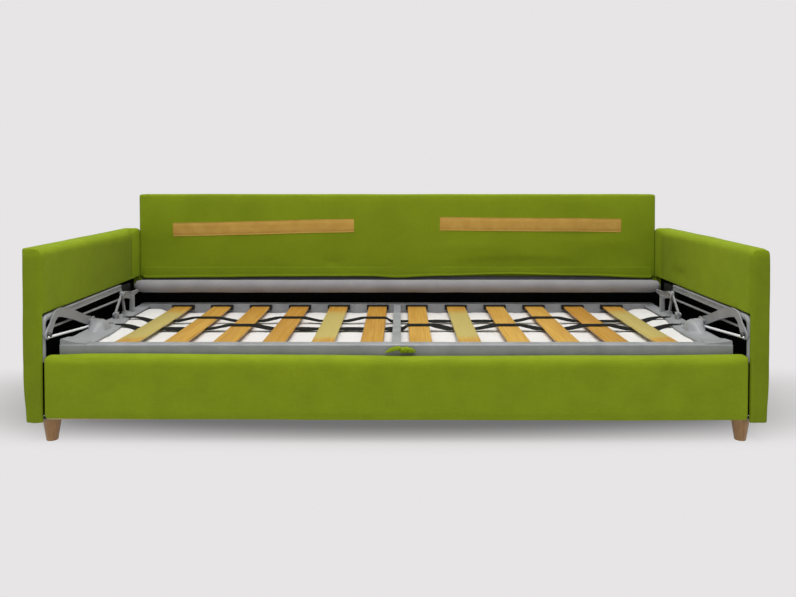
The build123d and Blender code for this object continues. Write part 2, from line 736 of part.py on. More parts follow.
def build_mattress():
    """Mattress with drawn-in sides and a crowned lying face, held to the deck by two bands."""
    body_top = rail_top - rail_height - seat_gap
    front = at(mattress_front)
    back = at(mattress_back)
    middle = (body_top + mattress_bottom) / 2
    low = mattress_bottom + mattress_crown
    draw = mattress_side_draw
    section = make_face(Wire((
        Line((front + draw, body_top), (back - draw, body_top)),
        ThreePointArc((back - draw, body_top), (back, middle), (back - draw, low)),
        ThreePointArc((back - draw, low), ((front + back) / 2, mattress_bottom), (front + draw, low)),
        ThreePointArc((front + draw, low), (front, middle), (front + draw, body_top)),
    )))
    body = plate_x(section, -mattress_half_length, mattress_half_length)
    body = fillet(body.edges().filter_by(lambda e: abs(e.center().X) > mattress_half_length - overrun
                                         and abs(e.center().Z - middle) < overrun), mattress_rounding)
    side = deck_half_length - end_rail_back_width + mattress_field_tuck
    field = block(-side, side, at(deck_front + front_rail_depth + mattress_field_gap),
                  at(deck_back - rear_rail_depth - mattress_field_gap), body_top - overrun, mattress_top)
    field = fillet(field.edges().group_by(Axis.Z)[-1], mattress_field_rounding)
    save("mattress", body + field)

    bands = []
    reach = band_gap + band_thickness
    rail_bottom = rail_top - rail_height
    for x in (-band_x, band_x):
        outer = block(x - band_width / 2, x + band_width / 2, front - reach, back + reach,
                      mattress_bottom - reach, rail_bottom)
        inner = block(x - band_width, x + band_width, front - band_gap, back + band_gap,
                      mattress_bottom - band_gap, rail_bottom + overrun)
        bands.append(outer - inner)
    save("mattress_bands", *bands)


def build_pull_strap():
    """Pull strap bunched over the front panel: a folded loop and a knot, sewn to the front rail."""
    rear = at(deck_front) - seat_gap
    web = pull_strap_thickness
    base_top = pull_strap_bottom + web
    low = Vector(pull_strap_left + web, pull_strap_bottom + web / 2)
    high = Vector(pull_loop_end, low.Y + pull_loop_rise)
    along = (high - low).normalized() * 2 * web
    outer = make_face(Wire([SagittaArc(low, high, -pull_loop_bulge), SagittaArc(high, low, -pull_loop_bulge)]))
    slit = pull_loop_bulge - web
    inner = make_face(Wire([SagittaArc(low + along, high - along, -slit),
                            SagittaArc(high - along, low + along, -slit)]))
    loop = outer - inner
    base = outline(((pull_strap_left, pull_strap_bottom), (pull_strap_right, pull_strap_bottom),
                    (pull_strap_right, base_top), (pull_strap_left, base_top)))
    shape = loop + base
    x = pull_loop_end
    for radius in pull_knot_radii:
        shape += Pos(x, pull_strap_bottom + web / 2 + radius) * Circle(radius)
        x += 2 * radius - pull_knot_overlap
    strap = extrude(Plane.XZ * shape, amount=pull_strap_width / 2, both=True)
    strap = Pos(0, rear - pull_strap_width / 2, 0) * strap
    strap += block(pull_strap_left / 2, pull_strap_right / 2, rear - web, rear,
                   pull_strap_bottom, rail_top - rail_rounding)
    save("pull_strap", strap)


def leg_plate_face():
    """Curved side plate of the leg frame, from the apex bolt to the roll."""
    apex_y = at(apex_depth)
    reach = at(roll_depth) - apex_y
    points = [(apex_y - strut_width + share_y * (reach + strut_width),
               apex_height + (roll_height - apex_height) * share_y + share_z * leg_plate_rise)
              for share_y, share_z in leg_plate_outline_shares]
    return outline(points)


def build_leg_frame():
    """Leg frame that carries the padded roll: plates, struts, tube, sleeve, end caps and bolts."""
    pivot_y = at(leg_pivot_depth)
    roll_y = at(roll_depth)
    apex_y = at(apex_depth)
    foot_y = at(strut_foot_depth)
    plate = plate_x(leg_plate_face(), leg_plate_inner, leg_plate_inner + leg_plate)
    plate += rod_x(leg_ring_radius, leg_plate_inner, leg_plate_inner + leg_plate, roll_y, roll_height)
    plate -= rod_x(leg_tube_radius + bonded_gap, leg_plate_inner - overrun, strut_plate_inner,
                   roll_y, roll_height)
    plate -= rod_x(apex_bolt_radius + bonded_gap, leg_plate_inner - overrun, strut_plate_inner,
                   apex_y, apex_height)
    save_pair("leg_bracket", plate)

    half = strut_width / 2
    outer = strut_plate_inner + strut_plate
    front_bar = outline(((pivot_y - half, leg_pivot_height), (apex_y - half, apex_height),
                         (apex_y + half, apex_height), (pivot_y + half, leg_pivot_height)))
    rear_bar = outline(((foot_y - half, strut_foot_height), (apex_y - half, apex_height),
                        (apex_y + half, apex_height), (foot_y + half, strut_foot_height)))
    struts = plate_x(front_bar, strut_plate_inner, outer) + plate_x(rear_bar, strut_plate_inner, outer)
    struts += rod_x(strut_eye_radius, strut_plate_inner, outer, pivot_y, leg_pivot_height)
    struts += rod_x(strut_eye_radius, strut_plate_inner, outer, apex_y, apex_height)
    struts -= rod_x(leg_pin_radius + running_gap, leg_plate_inner, outer + overrun,
                    pivot_y, leg_pivot_height)
    struts -= rod_x(apex_bolt_radius + bonded_gap, leg_plate_inner, outer + overrun,
                    apex_y, apex_height)
    save("leg_struts", struts, other_side(struts))

    bolt = rod_x(apex_bolt_radius, leg_plate_inner, outer, apex_y, apex_height)
    bolt += rod_x(apex_bolt_head_radius, leg_plate_inner - leg_pin_head_thickness, leg_plate_inner,
                  apex_y, apex_height)
    bolt += rod_x(apex_bolt_head_radius, outer, outer + leg_pin_head_thickness, apex_y, apex_height)
    spacer = rod_x(apex_bolt_head_radius, leg_plate_inner + leg_plate, strut_plate_inner,
                   apex_y, apex_height)
    save("leg_bolts", bolt + spacer, other_side(bolt + spacer))

    tube = rod_x(leg_tube_radius, -leg_tube_half_length, leg_tube_half_length, roll_y, roll_height)
    tube -= rod_x(leg_tube_radius - leg_tube_wall, -roll_half_length, roll_half_length,
                  roll_y, roll_height)
    save("leg_tube", tube)
    sleeve_half = leg_plate_inner - 2 * seat_gap
    sleeve = rod_x(roll_radius, -sleeve_half, sleeve_half, roll_y, roll_height)
    sleeve = fillet(sleeve.edges(), roll_rounding)
    sleeve -= rod_x(leg_tube_radius + bonded_gap, -roll_half_length, roll_half_length,
                    roll_y, roll_height)
    save("foot_roll", sleeve)
    end_start = leg_plate_inner + leg_plate + 2 * seat_gap
    cone = Solid.make_cone(roll_radius, roll_end_radius, roll_half_length - end_start)
    cap = Pos(end_start, roll_y, roll_height) * Rot(0, 90, 0) * cone
    cap -= rod_x(leg_tube_radius + bonded_gap, end_start - overrun, leg_tube_half_length,
                 roll_y, roll_height)
    save("roll_ends", cap, other_side(cap))


def build_leg_mounts():
    """Lugs, pins and rest posts on the deck that carry the leg frame."""
    pivot_y = at(leg_pivot_depth)
    lug_top = leg_pivot_height + strut_eye_radius
    lug = block(leg_lug_inner, leg_lug_inner + leg_lug_thickness, pivot_y - leg_lug_width / 2,
                pivot_y + leg_lug_width / 2, end_rail_top, lug_top)
    lug -= rod_x(leg_pin_radius + bonded_gap, leg_lug_inner - overrun, strut_plate_inner,
                 pivot_y, leg_pivot_height)
    save("leg_lugs", lug, other_side(lug))
    outer = strut_plate_inner + strut_plate + seat_gap
    pin = rod_x(leg_pin_radius, leg_lug_inner, outer, pivot_y, leg_pivot_height)
    pin += rod_x(leg_pin_head_radius, outer, outer + leg_pin_head_thickness, pivot_y, leg_pivot_height)
    pin += rod_x(leg_pin_head_radius, leg_lug_inner - leg_pin_head_thickness, leg_lug_inner,
                 pivot_y, leg_pivot_height)
    save("leg_pins", pin, other_side(pin))
    posts = []
    post_x = leg_plate_inner + leg_plate / 2
    post_y = at(rest_post_depth)
    post = block(post_x - rest_post_width / 2, post_x + rest_post_width / 2,
                 post_y - rest_post_length / 2, post_y + rest_post_length / 2,
                 end_rail_top, roll_height + leg_plate_rise)
    over = plate_x(leg_plate_face(), post_x - rest_post_width, post_x + rest_post_width)
    post = (post - Pos(0, 0, -seat_gap) * over).solids().sort_by(Axis.Z)[0]
    foot_x = strut_plate_inner + strut_plate / 2
    foot_y = at(strut_foot_depth)
    pad = block(foot_x - strut_plate, foot_x + strut_plate, foot_y - strut_width,
                foot_y + strut_width, end_rail_top, strut_foot_height - seat_gap)
    posts.extend([post, pad, other_side(post), other_side(pad)])
    save("leg_rests", *posts)


def main():
    """Write every sub-part."""
    os.makedirs("parts", exist_ok=True)
    build_arms()
    build_front_panel()
    build_backrest()
    build_hem()
    build_base()
    build_feet()
    build_side_frames()
    build_pivot_pins()
    build_swing_arms()
    build_deck_frame()
    build_slats()
    build_straps()
    build_hubs()
    build_mattress()
    build_pull_strap()
    build_leg_frame()
    build_leg_mounts()


main()
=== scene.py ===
import math

import bmesh
import bpy
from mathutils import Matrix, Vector, noise


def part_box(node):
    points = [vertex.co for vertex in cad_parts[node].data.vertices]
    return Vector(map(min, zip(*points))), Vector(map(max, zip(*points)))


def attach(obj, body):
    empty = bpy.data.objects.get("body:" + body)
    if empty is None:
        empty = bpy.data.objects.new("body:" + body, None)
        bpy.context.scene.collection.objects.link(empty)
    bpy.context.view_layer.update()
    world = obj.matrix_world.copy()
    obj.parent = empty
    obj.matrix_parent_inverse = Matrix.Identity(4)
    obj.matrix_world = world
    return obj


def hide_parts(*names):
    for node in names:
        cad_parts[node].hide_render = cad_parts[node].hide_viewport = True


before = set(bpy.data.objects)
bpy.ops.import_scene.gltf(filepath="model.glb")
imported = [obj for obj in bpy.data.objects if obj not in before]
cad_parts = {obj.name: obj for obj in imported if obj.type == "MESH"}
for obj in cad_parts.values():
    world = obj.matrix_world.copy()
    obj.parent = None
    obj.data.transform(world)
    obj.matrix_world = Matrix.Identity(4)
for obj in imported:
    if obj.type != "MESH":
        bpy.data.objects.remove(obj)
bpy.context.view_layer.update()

# Looks of a sofa bed whose slatted deck swings forward and turns over. Everything is in metres,
# with the front towards -Y and the right end, as seen from the front, towards +X.

X, Y, Z = 0, 1, 2
SIDES = {"left": -1, "right": 1}

# Solids whose boxes give the scene its sizes
ARM_LOW, ARM_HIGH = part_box("arm_cover_right")
BACK_LOW, BACK_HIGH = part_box("back_cover")
RAIL_LOW, RAIL_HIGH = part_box("side_frame_rail_right")
SLAT_LOW, SLAT_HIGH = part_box("slats_right")
DECK_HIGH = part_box("deck_front_rail")[1]
END_LOW, END_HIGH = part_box("deck_end_rail_right")
PAD_BOTTOM = RAIL_HIGH.z + 0.005
PLATE_TOP = SLAT_HIGH.z


# Grids and forms

def middle_of(name):
    """Middle of a solid's box."""
    low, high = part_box(name)
    return (low + high) / 2


def stops(low, high, pitch, near=(), extra=()):
    """Places from low to high: both ends, some near each end, the extra ones, and even steps between."""
    fixed = sorted({low, high, *extra, *(low + d for d in near), *(high - d for d in near)})
    places = [fixed[0]]
    for place in fixed[1:]:
        start = places[-1]
        count = max(1, round((place - start) / pitch))
        places.extend(start + (place - start) * step / count for step in range(1, count + 1))
    return places


class Form:
    """Points and faces of one piece, gathered from one or more closed forms."""

    def __init__(self):
        self.points = []
        self.faces = []

    def loft(self, rings):
        """Skins rings of points one after the other and closes both ends."""
        start = len(self.points)
        count = len(rings[0])
        for ring in rings:
            self.points.extend(Vector(point) for point in ring)
        for row in range(len(rings) - 1):
            for step in range(count):
                here = start + row * count + step
                after = start + row * count + (step + 1) % count
                self.faces.append((here, after, after + count, here + count))
        last = start + (len(rings) - 1) * count
        self.faces.append(tuple(range(start + count - 1, start - 1, -1)))
        self.faces.append(tuple(range(last, last + count)))
        return self

    def turned(self, profile, centre, axis, sides=24, facing=1):
        """Round form about an axis through centre. The profile is pairs of place along it and radius.

        Facing is 1 where the places count up the axis and -1 where they count down.
        """
        across, up = [other for other in (X, Y, Z) if other != axis]
        rings = []
        for along, radius in profile:
            ring = []
            for step in range(sides):
                angle = 2 * math.pi * step / sides
                point = Vector(centre)
                point[axis] += along * facing
                point[across] += radius * math.cos(angle)
                point[up] += radius * math.sin(angle)
                ring.append(point)
            rings.append(ring)
        return self.loft(rings)

    def build(self, name, sharp=None):
        """Makes the object. Edges that turn by more than sharp degrees stay crisp."""
        mesh = bpy.data.meshes.new(name)
        mesh.from_pydata([tuple(point) for point in self.points], [], self.faces)
        work = bmesh.new()
        work.from_mesh(mesh)
        bmesh.ops.recalc_face_normals(work, faces=work.faces)
        work.to_mesh(mesh)
        work.free()
        mesh.shade_smooth()
        if sharp is not None:
            mesh.set_sharp_from_angle(angle=math.radians(sharp))
        piece = bpy.data.objects.new(name, mesh)
        bpy.context.scene.collection.objects.link(piece)
        return piece


CELL_SIDES = (
    ((1, 0, 0), ((1, 0, 0), (1, 1, 0), (1, 1, 1), (1, 0, 1))),
    ((-1, 0, 0), ((0, 0, 0), (0, 0, 1), (0, 1, 1), (0, 1, 0))),
    ((0, 1, 0), ((0, 1, 0), (0, 1, 1), (1, 1, 1), (1, 1, 0))),
    ((0, -1, 0), ((0, 0, 0), (1, 0, 0), (1, 0, 1), (0, 0, 1))),
    ((0, 0, 1), ((0, 0, 1), (1, 0, 1), (1, 1, 1), (0, 1, 1))),
    ((0, 0, -1), ((0, 0, 0), (0, 1, 0), (1, 1, 0), (1, 0, 0))),
)


def cell_shell(name, xs, ys, zs, inside=lambda x, y, z: True):
    """Closed skin round the grid cells whose middles are inside, with every corner shared."""
    cells = set()
    for i in range(len(xs) - 1):
        for j in range(len(ys) - 1):
            for k in range(len(zs) - 1):
                middle = ((xs[i] + xs[i + 1]) / 2, (ys[j] + ys[j + 1]) / 2, (zs[k] + zs[k + 1]) / 2)
                if inside(*middle):
                    cells.add((i, j, k))
    form = Form()
    corners = {}
    for i, j, k in sorted(cells):
        for (di, dj, dk), quad in CELL_SIDES:
            if (i + di, j + dj, k + dk) in cells:
                continue
            face = []
            for ci, cj, ck in quad:
                key = (i + ci, j + cj, k + ck)
                if key not in corners:
                    corners[key] = len(form.points)
                    form.points.append(Vector((xs[key[X]], ys[key[Y]], zs[key[Z]])))
                face.append(corners[key])
            form.faces.append(tuple(face))
    return form.build(name)


def flat_ring(middle, side, up, width, thickness, corner=3):
    """Ring of a flat band: a rectangle with rounded corners round a middle point."""
    radius = min(thickness / 2, width / 2) * 0.98
    ring = []
    for quarter, (sx, sy) in enumerate(((1, 1), (-1, 1), (-1, -1), (1, -1))):
        for step in range(corner + 1):
            angle = math.radians(90 * (quarter + step / corner))
            across = sx * (width / 2 - radius) + radius * math.cos(angle)
            along = sy * (thickness / 2 - radius) + radius * math.sin(angle)
            ring.append(Vector(middle) + Vector(side) * across + Vector(up) * along)
    return ring


def smooth_between(value, low, high):
    """From 0 at low to 1 at high, with soft ends."""
    share = min(1.0, max(0.0, (value - low) / (high - low)))
    return share * share * (3 - 2 * share)


def bump_at(value, middle, half_width):
    """From 0 outside to 1 at the middle, with soft ends."""
    return smooth_between(1 - abs(value - middle) / half_width, 0, 1)


def through(value, knots):
    """Soft curve through pairs of place and value."""
    if value <= knots[0][0]:
        return knots[0][1]
    for (x0, y0), (x1, y1) in zip(knots, knots[1:]):
        if value <= x1:
            return y0 + (y1 - y0) * smooth_between(value, x0, x1)
    return knots[-1][1]


def cloud(place, size, seed):
    """Soft noise from -1 to 1 with lumps of about this size."""
    return noise.noise(Vector(place) / size + Vector((seed, seed * 1.7, seed * 0.3)))


def reshape(piece, change):
    """Moves each point to where change says. It gets the place and the normal."""
    moved = [change(vertex.co.copy(), vertex.normal.copy()) for vertex in piece.data.vertices]
    for vertex, place in zip(piece.data.vertices, moved):
        vertex.co = place
    piece.data.update()


def faces_of(low, high):
    """The six faces of a box. A face is its axis, its place and which way it looks."""
    return {"left": (X, low.x, -1), "right": (X, high.x, 1), "front": (Y, low.y, -1),
            "rear": (Y, high.y, 1), "bottom": (Z, low.z, -1), "top": (Z, high.z, 1)}


def ease_edge(piece, first, second, radii):
    """Rounds the edge where two faces meet, by one radius or by a function that gives a radius for each."""
    (a, place_a, sign_a), (b, place_b, sign_b) = first, second

    def change(point, normal):
        radius_a, radius_b = radii(point) if callable(radii) else (radii, radii)
        u = 1 - sign_a * (place_a - point[a]) / radius_a
        v = 1 - sign_b * (place_b - point[b]) / radius_b
        if u <= 0 or v <= 0:
            return point
        share = max(u, v) / math.hypot(u, v)
        point[a] = place_a - sign_a * radius_a * (1 - u * share)
        point[b] = place_b - sign_b * radius_b * (1 - v * share)
        return point

    reshape(piece, change)


def ease_edges(piece, faces, *edges):
    """Rounds edges in this order. An edge is the names of its two faces and its radius."""
    for first, second, radii in edges:
        ease_edge(piece, faces[first], faces[second], radii)


SWELL_FRAMES = 20


def swell(piece, held, cap, pressure=4.0):
    """Blows the cloth of a pad out under pressure. Held points stay, and no point moves past the cap."""
    group = piece.vertex_groups.new(name="held")
    group.add([v.index for v in piece.data.vertices if held(v.co)], 1.0, "REPLACE")
    cloth = piece.modifiers.new("swell", "CLOTH")
    cloth.settings.quality = 4
    cloth.settings.mass = 0.25
    cloth.settings.tension_stiffness = 20
    cloth.settings.compression_stiffness = 20
    cloth.settings.shear_stiffness = 8
    cloth.settings.bending_stiffness = 1.0
    cloth.settings.use_pressure = True
    cloth.settings.uniform_pressure_force = pressure
    cloth.settings.vertex_group_mass = "held"
    cloth.settings.effector_weights.gravity = 0.0
    for number in range(1, SWELL_FRAMES + 1):
        bpy.context.scene.frame_set(number)
    puffed = piece.evaluated_get(bpy.context.evaluated_depsgraph_get())
    targets = [vertex.co.copy() for vertex in puffed.data.vertices]
    for vertex, target in zip(piece.data.vertices, targets):
        move = target - vertex.co
        if move.length > cap:
            move *= cap / move.length
        vertex.co += move
    piece.modifiers.remove(cloth)
    piece.vertex_groups.remove(group)
    piece.data.update()
    bpy.context.scene.frame_set(1)


def dress(piece, body, slot, *replaced, material=None, levels=0):
    """Gives a piece its material, from its slot unless one is given, a subdivision if levels are set, and its
    body, and hides the solids it stands for.
    """
    piece.data.materials.clear()
    piece.data.materials.append(material or MATERIALS[slot])
    if levels:
        rounder = piece.modifiers.new("round", "SUBSURF")
        rounder.levels = levels
        rounder.render_levels = levels
    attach(piece, body)
    if replaced:
        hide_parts(*replaced)


# Materials

class Paint:
    """A procedural material under way. Its patterns are fixed to the piece and measured in metres."""

    def __init__(self, name, **sockets):
        self.material = bpy.data.materials.new(name)
        self.material.use_nodes = True
        self.tree = self.material.node_tree
        self.shader = self.tree.nodes["Principled BSDF"]
        self.place = self.node("TexCoord").outputs["Object"]
        for socket, value in sockets.items():
            self.shader.inputs[socket.replace("_", " ").title().replace("Ior", "IOR")].default_value = value

    def node(self, kind, inputs=None, **settings):
        """Adds a node. Its inputs are linked sockets or fixed values."""
        made = self.tree.nodes.new("ShaderNode" + kind)
        for key, value in settings.items():
            setattr(made, key, value)
        for key, value in (inputs or {}).items():
            if isinstance(value, bpy.types.NodeSocket):
                self.tree.links.new(value, made.inputs[key])
            else:
                made.inputs[key].default_value = value
        return made

    def math(self, operation, a, b=0.0):
        return self.node("Math", {0: a, 1: b}, operation=operation).outputs[0]

    def add(self, a, b):
        return self.math("ADD", a, b)

    def times(self, a, b):
        return self.math("MULTIPLY", a, b)

    def wave(self, length, pitch):
        """Sine from -1 to 1 that repeats at this pitch."""
        return self.math("SINE", self.times(length, 2 * math.pi / pitch))

    def axes(self):
        split = self.node("SeparateXYZ", {0: self.place})
        return split.outputs[0], split.outputs[1], split.outputs[2]

    def noise(self, size, detail=3.0, stretch=(1, 1, 1)):
        """Noise from 0 to 1 with spots of this size, longer along an axis whose stretch is more."""
        scale = [1 / (size * share) for share in stretch]
        place = self.node("Mapping", {"Vector": self.place, "Scale": scale}).outputs[0]
        return self.node("TexNoise", {"Vector": place, "Scale": 1.0, "Detail": detail}).outputs[0]

    def spread(self, value, low=0.3, high=0.7, least=0.0, most=1.0):
        """Stretches a value from low and high to least and most. Most noise lies from 0.3 to 0.7."""
        inputs = {0: value, 1: low, 2: high, 3: least, 4: most}
        return self.node("MapRange", inputs).outputs[0]

    def blend(self, share, a, b):
        """Colour from a to b."""
        a = (*a, 1.0) if isinstance(a, tuple) else a
        b = (*b, 1.0) if isinstance(b, tuple) else b
        return self.node("Mix", {0: share, 6: a, 7: b}, data_type="RGBA").outputs[2]

    def finish(self, colour, rough, height, depth, strength=0.5):
        """Links colour, roughness, and bumps of this depth in metres where the height goes from 0 to 1."""
        bump = self.node("Bump", {"Height": height, "Distance": depth, "Strength": strength})
        self.tree.links.new(colour, self.shader.inputs["Base Color"])
        self.tree.links.new(rough, self.shader.inputs["Roughness"])
        self.tree.links.new(bump.outputs[0], self.shader.inputs["Normal"])
        return self.material


def woven(name, dark, light, thread, depth, patch=0.09, tone=None, **sockets):
    """Plain weave cloth: crossing threads, uneven yarn and slow changes of shade.

    A tone is a function that gives the share of the colour left at each place; the arms use it for painted
    shade.
    """
    paint = Paint(name, **sockets)
    waves = [paint.wave(axis, thread) for axis in paint.axes()]
    crossings = [paint.times(waves[a], waves[b]) for a, b in ((X, Y), (Y, Z), (Z, X))]
    weave = paint.spread(paint.add(paint.add(crossings[0], crossings[1]), crossings[2]), -1.2, 1.2)
    upright = paint.noise(thread, detail=2.0, stretch=(1, 1, 14))
    level = paint.noise(thread, detail=2.0, stretch=(14, 14, 1))
    yarn = paint.times(paint.add(upright, level), 0.5)
    shade = paint.add(paint.spread(yarn, most=0.5), paint.spread(paint.noise(patch, detail=4.0), most=0.5))
    cloth = paint.blend(paint.add(shade, paint.spread(weave, 0, 1, -0.15, 0.1)), dark, light)
    # Painted shade: the tone blends the cloth towards black.
    if tone:
        cloth = paint.blend(tone(paint), (0.0, 0.0, 0.0), cloth)
    rough = paint.spread(yarn, least=0.95, most=0.78)
    return paint.finish(cloth, rough, paint.add(weave, paint.times(yarn, 0.8)), depth)


def beech(name, dark, light, along, tone_pitch=None, pale=None, **sockets):
    """Lacquered beech with long grain, short flecks and pores. Each slat can have a tone of its own.

    A painted reflection of the green backrest, a light olive colour, shows over the middle of the slat and
    fades towards its ends.
    """
    paint = Paint(name, **sockets)
    grain = paint.noise(0.004, detail=5.0, stretch=[45 if axis == along else 1 for axis in (X, Y, Z)])
    fleck = paint.noise(0.0012, detail=2.0, stretch=[9 if axis == along else 1 for axis in (X, Y, Z)])
    pores = paint.spread(fleck, 0.55, 0.75, most=-0.35)
    share = paint.add(paint.spread(grain, 0.32, 0.68, most=0.8), pores)
    if tone_pitch:
        number = paint.math("FLOOR", paint.math("DIVIDE", paint.axes()[X], tone_pitch))
        tone = paint.node("TexWhiteNoise", {"W": number}, noise_dimensions="1D").outputs[0]
        share = paint.add(share, paint.spread(tone, 0, 1, -0.25, 0.35))
    wood = paint.blend(share, dark, light)
    # Painted reflection of the backrest over the middle of the slat.
    if pale:
        ragged = paint.spread(paint.noise(0.05), 0, 1, -0.05, 0.05)
        length = paint.add(paint.axes()[along], ragged)
        front = paint.spread(length, SLAT_LOW.y + 0.05, SLAT_LOW.y + 0.11)
        rear = paint.spread(length, SLAT_HIGH.y - 0.07, SLAT_HIGH.y - 0.16)
        wood = paint.blend(paint.times(paint.times(front, rear), 0.8), wood, pale)
    return paint.finish(wood, paint.spread(fleck, 0.3, 0.8, 0.32, 0.55), fleck, 0.00012, strength=0.6)


def coated(name, dark, light, rough, **sockets):
    """Powder coated or plated steel: fine orange peel, dust and a few rubbed places."""
    paint = Paint(name, **sockets)
    dust = paint.noise(0.06, detail=5.0)
    peel = paint.noise(0.0016, detail=2.0)
    rubbed = paint.spread(paint.noise(0.018, detail=6.0), 0.62, 0.72)
    colour = paint.blend(paint.add(paint.spread(dust, most=0.75), paint.times(rubbed, 0.3)), dark, light)
    return paint.finish(colour, paint.spread(dust, least=rough - 0.07, most=rough + 0.08), peel, 0.00012)


def grained(name, dark, light, size, rough, stretch=(1, 1, 1), **sockets):
    """Fine-grained solid such as moulded plastic, stained board or raw board."""
    paint = Paint(name, **sockets)
    grain = paint.noise(size, detail=4.0, stretch=stretch)
    slow = paint.noise(0.08)
    share = paint.times(paint.add(grain, slow), 0.5)
    colour = paint.blend(paint.spread(share, 0.35, 0.65), dark, light)
    rough = paint.spread(slow, least=rough - 0.06, most=rough + 0.06)
    return paint.finish(colour, rough, grain, 0.0002, strength=0.6)


def ribbed_elastic():
    """Black elastic webbing with cross ribs and rubber lines along it."""
    paint = Paint("black_elastic", specular_ior_level=0.12)
    x, y = paint.axes()[:Z]
    ribs = paint.wave(x, 0.0022)
    lines = paint.wave(y, 0.004)
    height = paint.add(paint.spread(ribs, -1, 1, most=0.6), paint.spread(lines, -1, 1, most=0.4))
    colour = paint.blend(height, (0.002, 0.002, 0.002), (0.012, 0.012, 0.011))
    rough = paint.spread(paint.noise(0.02), least=0.62, most=0.8)
    return paint.finish(colour, rough, height, 0.0004, strength=0.6)


def ticking(pitch=0.012):
    """White mattress cloth with small knitted diamonds."""
    paint = Paint("mattress_ticking", sheen_weight=0.15, sheen_roughness=0.6)
    x, y = paint.axes()[:Z]
    rising = paint.wave(paint.add(x, y), pitch)
    falling = paint.wave(paint.math("SUBTRACT", x, y), pitch)
    diamonds = paint.spread(paint.times(rising, falling), -0.6, 0.6)
    knit = paint.noise(0.0012, detail=2.0, stretch=(1, 3, 1))
    height = paint.add(paint.times(diamonds, 0.6), paint.times(knit, 0.5))
    share = paint.add(paint.times(diamonds, 0.4), paint.times(paint.noise(0.12), 0.6))
    colour = paint.blend(share, (0.63, 0.61, 0.595), (0.79, 0.77, 0.75))
    return paint.finish(colour, paint.spread(knit, least=0.9, most=0.75), height, 0.0005)


GREEN = ((0.185, 0.255, 0.004), (0.25, 0.335, 0.007))
# The backrest's green is the same cloth made darker: painted shade on the backrest and its hem.
BACK_GREEN_SHADED = ((0.165, 0.230, 0.0035), (0.225, 0.305, 0.006))
WEAVE = {"thread": 0.0017, "depth": 0.0005, "specular_ior_level": 0.22, "sheen_roughness": 0.45,
         "sheen_tint": (0.7, 0.95, 0.1, 1.0)}
BEECH = ((0.49, 0.230, 0.028), (0.70, 0.415, 0.080), Y)
LACQUER = {"coat_weight": 0.35, "coat_roughness": 0.2}
MATERIALS = {
    "upholstery": woven("upholstery", *GREEN, **WEAVE, sheen_weight=0.12),
    "grip_tape": woven("grip_tape", (0.46, 0.25, 0.045), (0.60, 0.38, 0.085), 0.0013, 0.0006, patch=0.05,
                       specular_ior_level=0.3, sheen_weight=0.05),
    "roll_fabric": woven("roll_fabric", (0.205, 0.198, 0.21), (0.30, 0.29, 0.305), 0.0011, 0.0003,
                         sheen_weight=0.2, sheen_roughness=0.5),
    "mattress_ticking": ticking(),
    "black_elastic": ribbed_elastic(),
    "slat_beech": beech("slat_beech", *BEECH, tone_pitch=0.1535, **LACQUER),
    "foot_wood": beech("foot_wood", (0.24, 0.115, 0.028), (0.38, 0.20, 0.06), Z, coat_weight=0.3,
                       coat_roughness=0.25),
    "grey_steel": coated("grey_steel", (0.245, 0.25, 0.262), (0.345, 0.35, 0.365), 0.42),
    "zinc_steel": coated("zinc_steel", (0.30, 0.30, 0.305), (0.44, 0.44, 0.445), 0.42, metallic=0.6),
    # The chrome rod is near white and barely metallic: a painted reflection of the bright room keeps it
    # bright.
    "chrome_rod": coated("chrome_rod", (0.90, 0.91, 0.94), (0.97, 0.98, 1.0), 0.26, metallic=0.12),
    "black_plastic": grained("black_plastic", (0.004, 0.004, 0.004), (0.012, 0.012, 0.012), 0.0015, 0.5,
                             specular_ior_level=0.25),
    "black_board": grained("black_board", (0.0015, 0.0015, 0.0015), (0.004, 0.004, 0.004), 0.002, 0.9,
                           stretch=(1, 8, 1), specular_ior_level=0.02),
    "frame_board": grained("frame_board", (0.42, 0.31, 0.19), (0.62, 0.49, 0.33), 0.006, 0.75,
                           stretch=(5, 1, 1)),
}
# Backrest and hem cloth in the darker green: painted shade.
BACK_CLOTH_SHADED = woven("upholstery_back", *BACK_GREEN_SHADED, **WEAVE, patch=0.16, sheen_weight=0.10)
LINING = woven("back_lining", (0.10, 0.10, 0.125), (0.15, 0.15, 0.18), 0.0012, 0.0003,
               specular_ior_level=0.3)
# Pivot pins: steel painted nearly black, as painted shade for where they sit.
PIN_STEEL_SHADED = coated("pin_steel_painted_shade", (0.035, 0.035, 0.037), (0.07, 0.07, 0.072), 0.45, metallic=0.3)
# Slat wood with the painted reflection of the backrest.
SLAT_PAINTED_REFLECTION = beech("slat_beech_pale", *BEECH, pale=(0.53, 0.46, 0.15), **LACQUER)


def finish_solids():
    """Paints every solid that stays on show and softens its edges."""
    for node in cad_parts.values():
        slot = node.data.materials[0].name.split(".")[0]
        node.data.materials.clear()
        node.data.materials.append(MATERIALS[slot])
        node.modifiers.new("weld", "WELD").merge_threshold = 0.00002
        bevel = node.modifiers.new("soft_edges", "BEVEL")
        bevel.width = 0.0008
        bevel.segments = 2
        bevel.limit_method = "ANGLE"
        bevel.angle_limit = math.radians(38)
        bevel.use_clamp_overlap = True
        node.modifiers.new("shading", "WEIGHTED_NORMAL").keep_sharp = True


finish_solids()


# Arms

ARM_PAD = 0.018
ARM_FRONT_SKIN = 0.010
ARM_OUTER_SKIN = 0.008
ARM_CROWN = 0.006
ARM_END = ARM_HIGH + Vector((0, 0.022, 0))
ARM_THICKNESS = ARM_END.x - ARM_LOW.x
FLAP_START = ARM_HIGH.y + 0.002
FLAP_WIDTH = 0.026
FLAP_BOTTOM = PAD_BOTTOM - 0.037
REAR_WALL = ARM_HIGH.y - 0.008
FOLD = ARM_END.y - 0.080
# Share of the colour on the strip just behind the fold, part of the arms' painted shade.
STRIP_SHADE_SHARE = 0.91


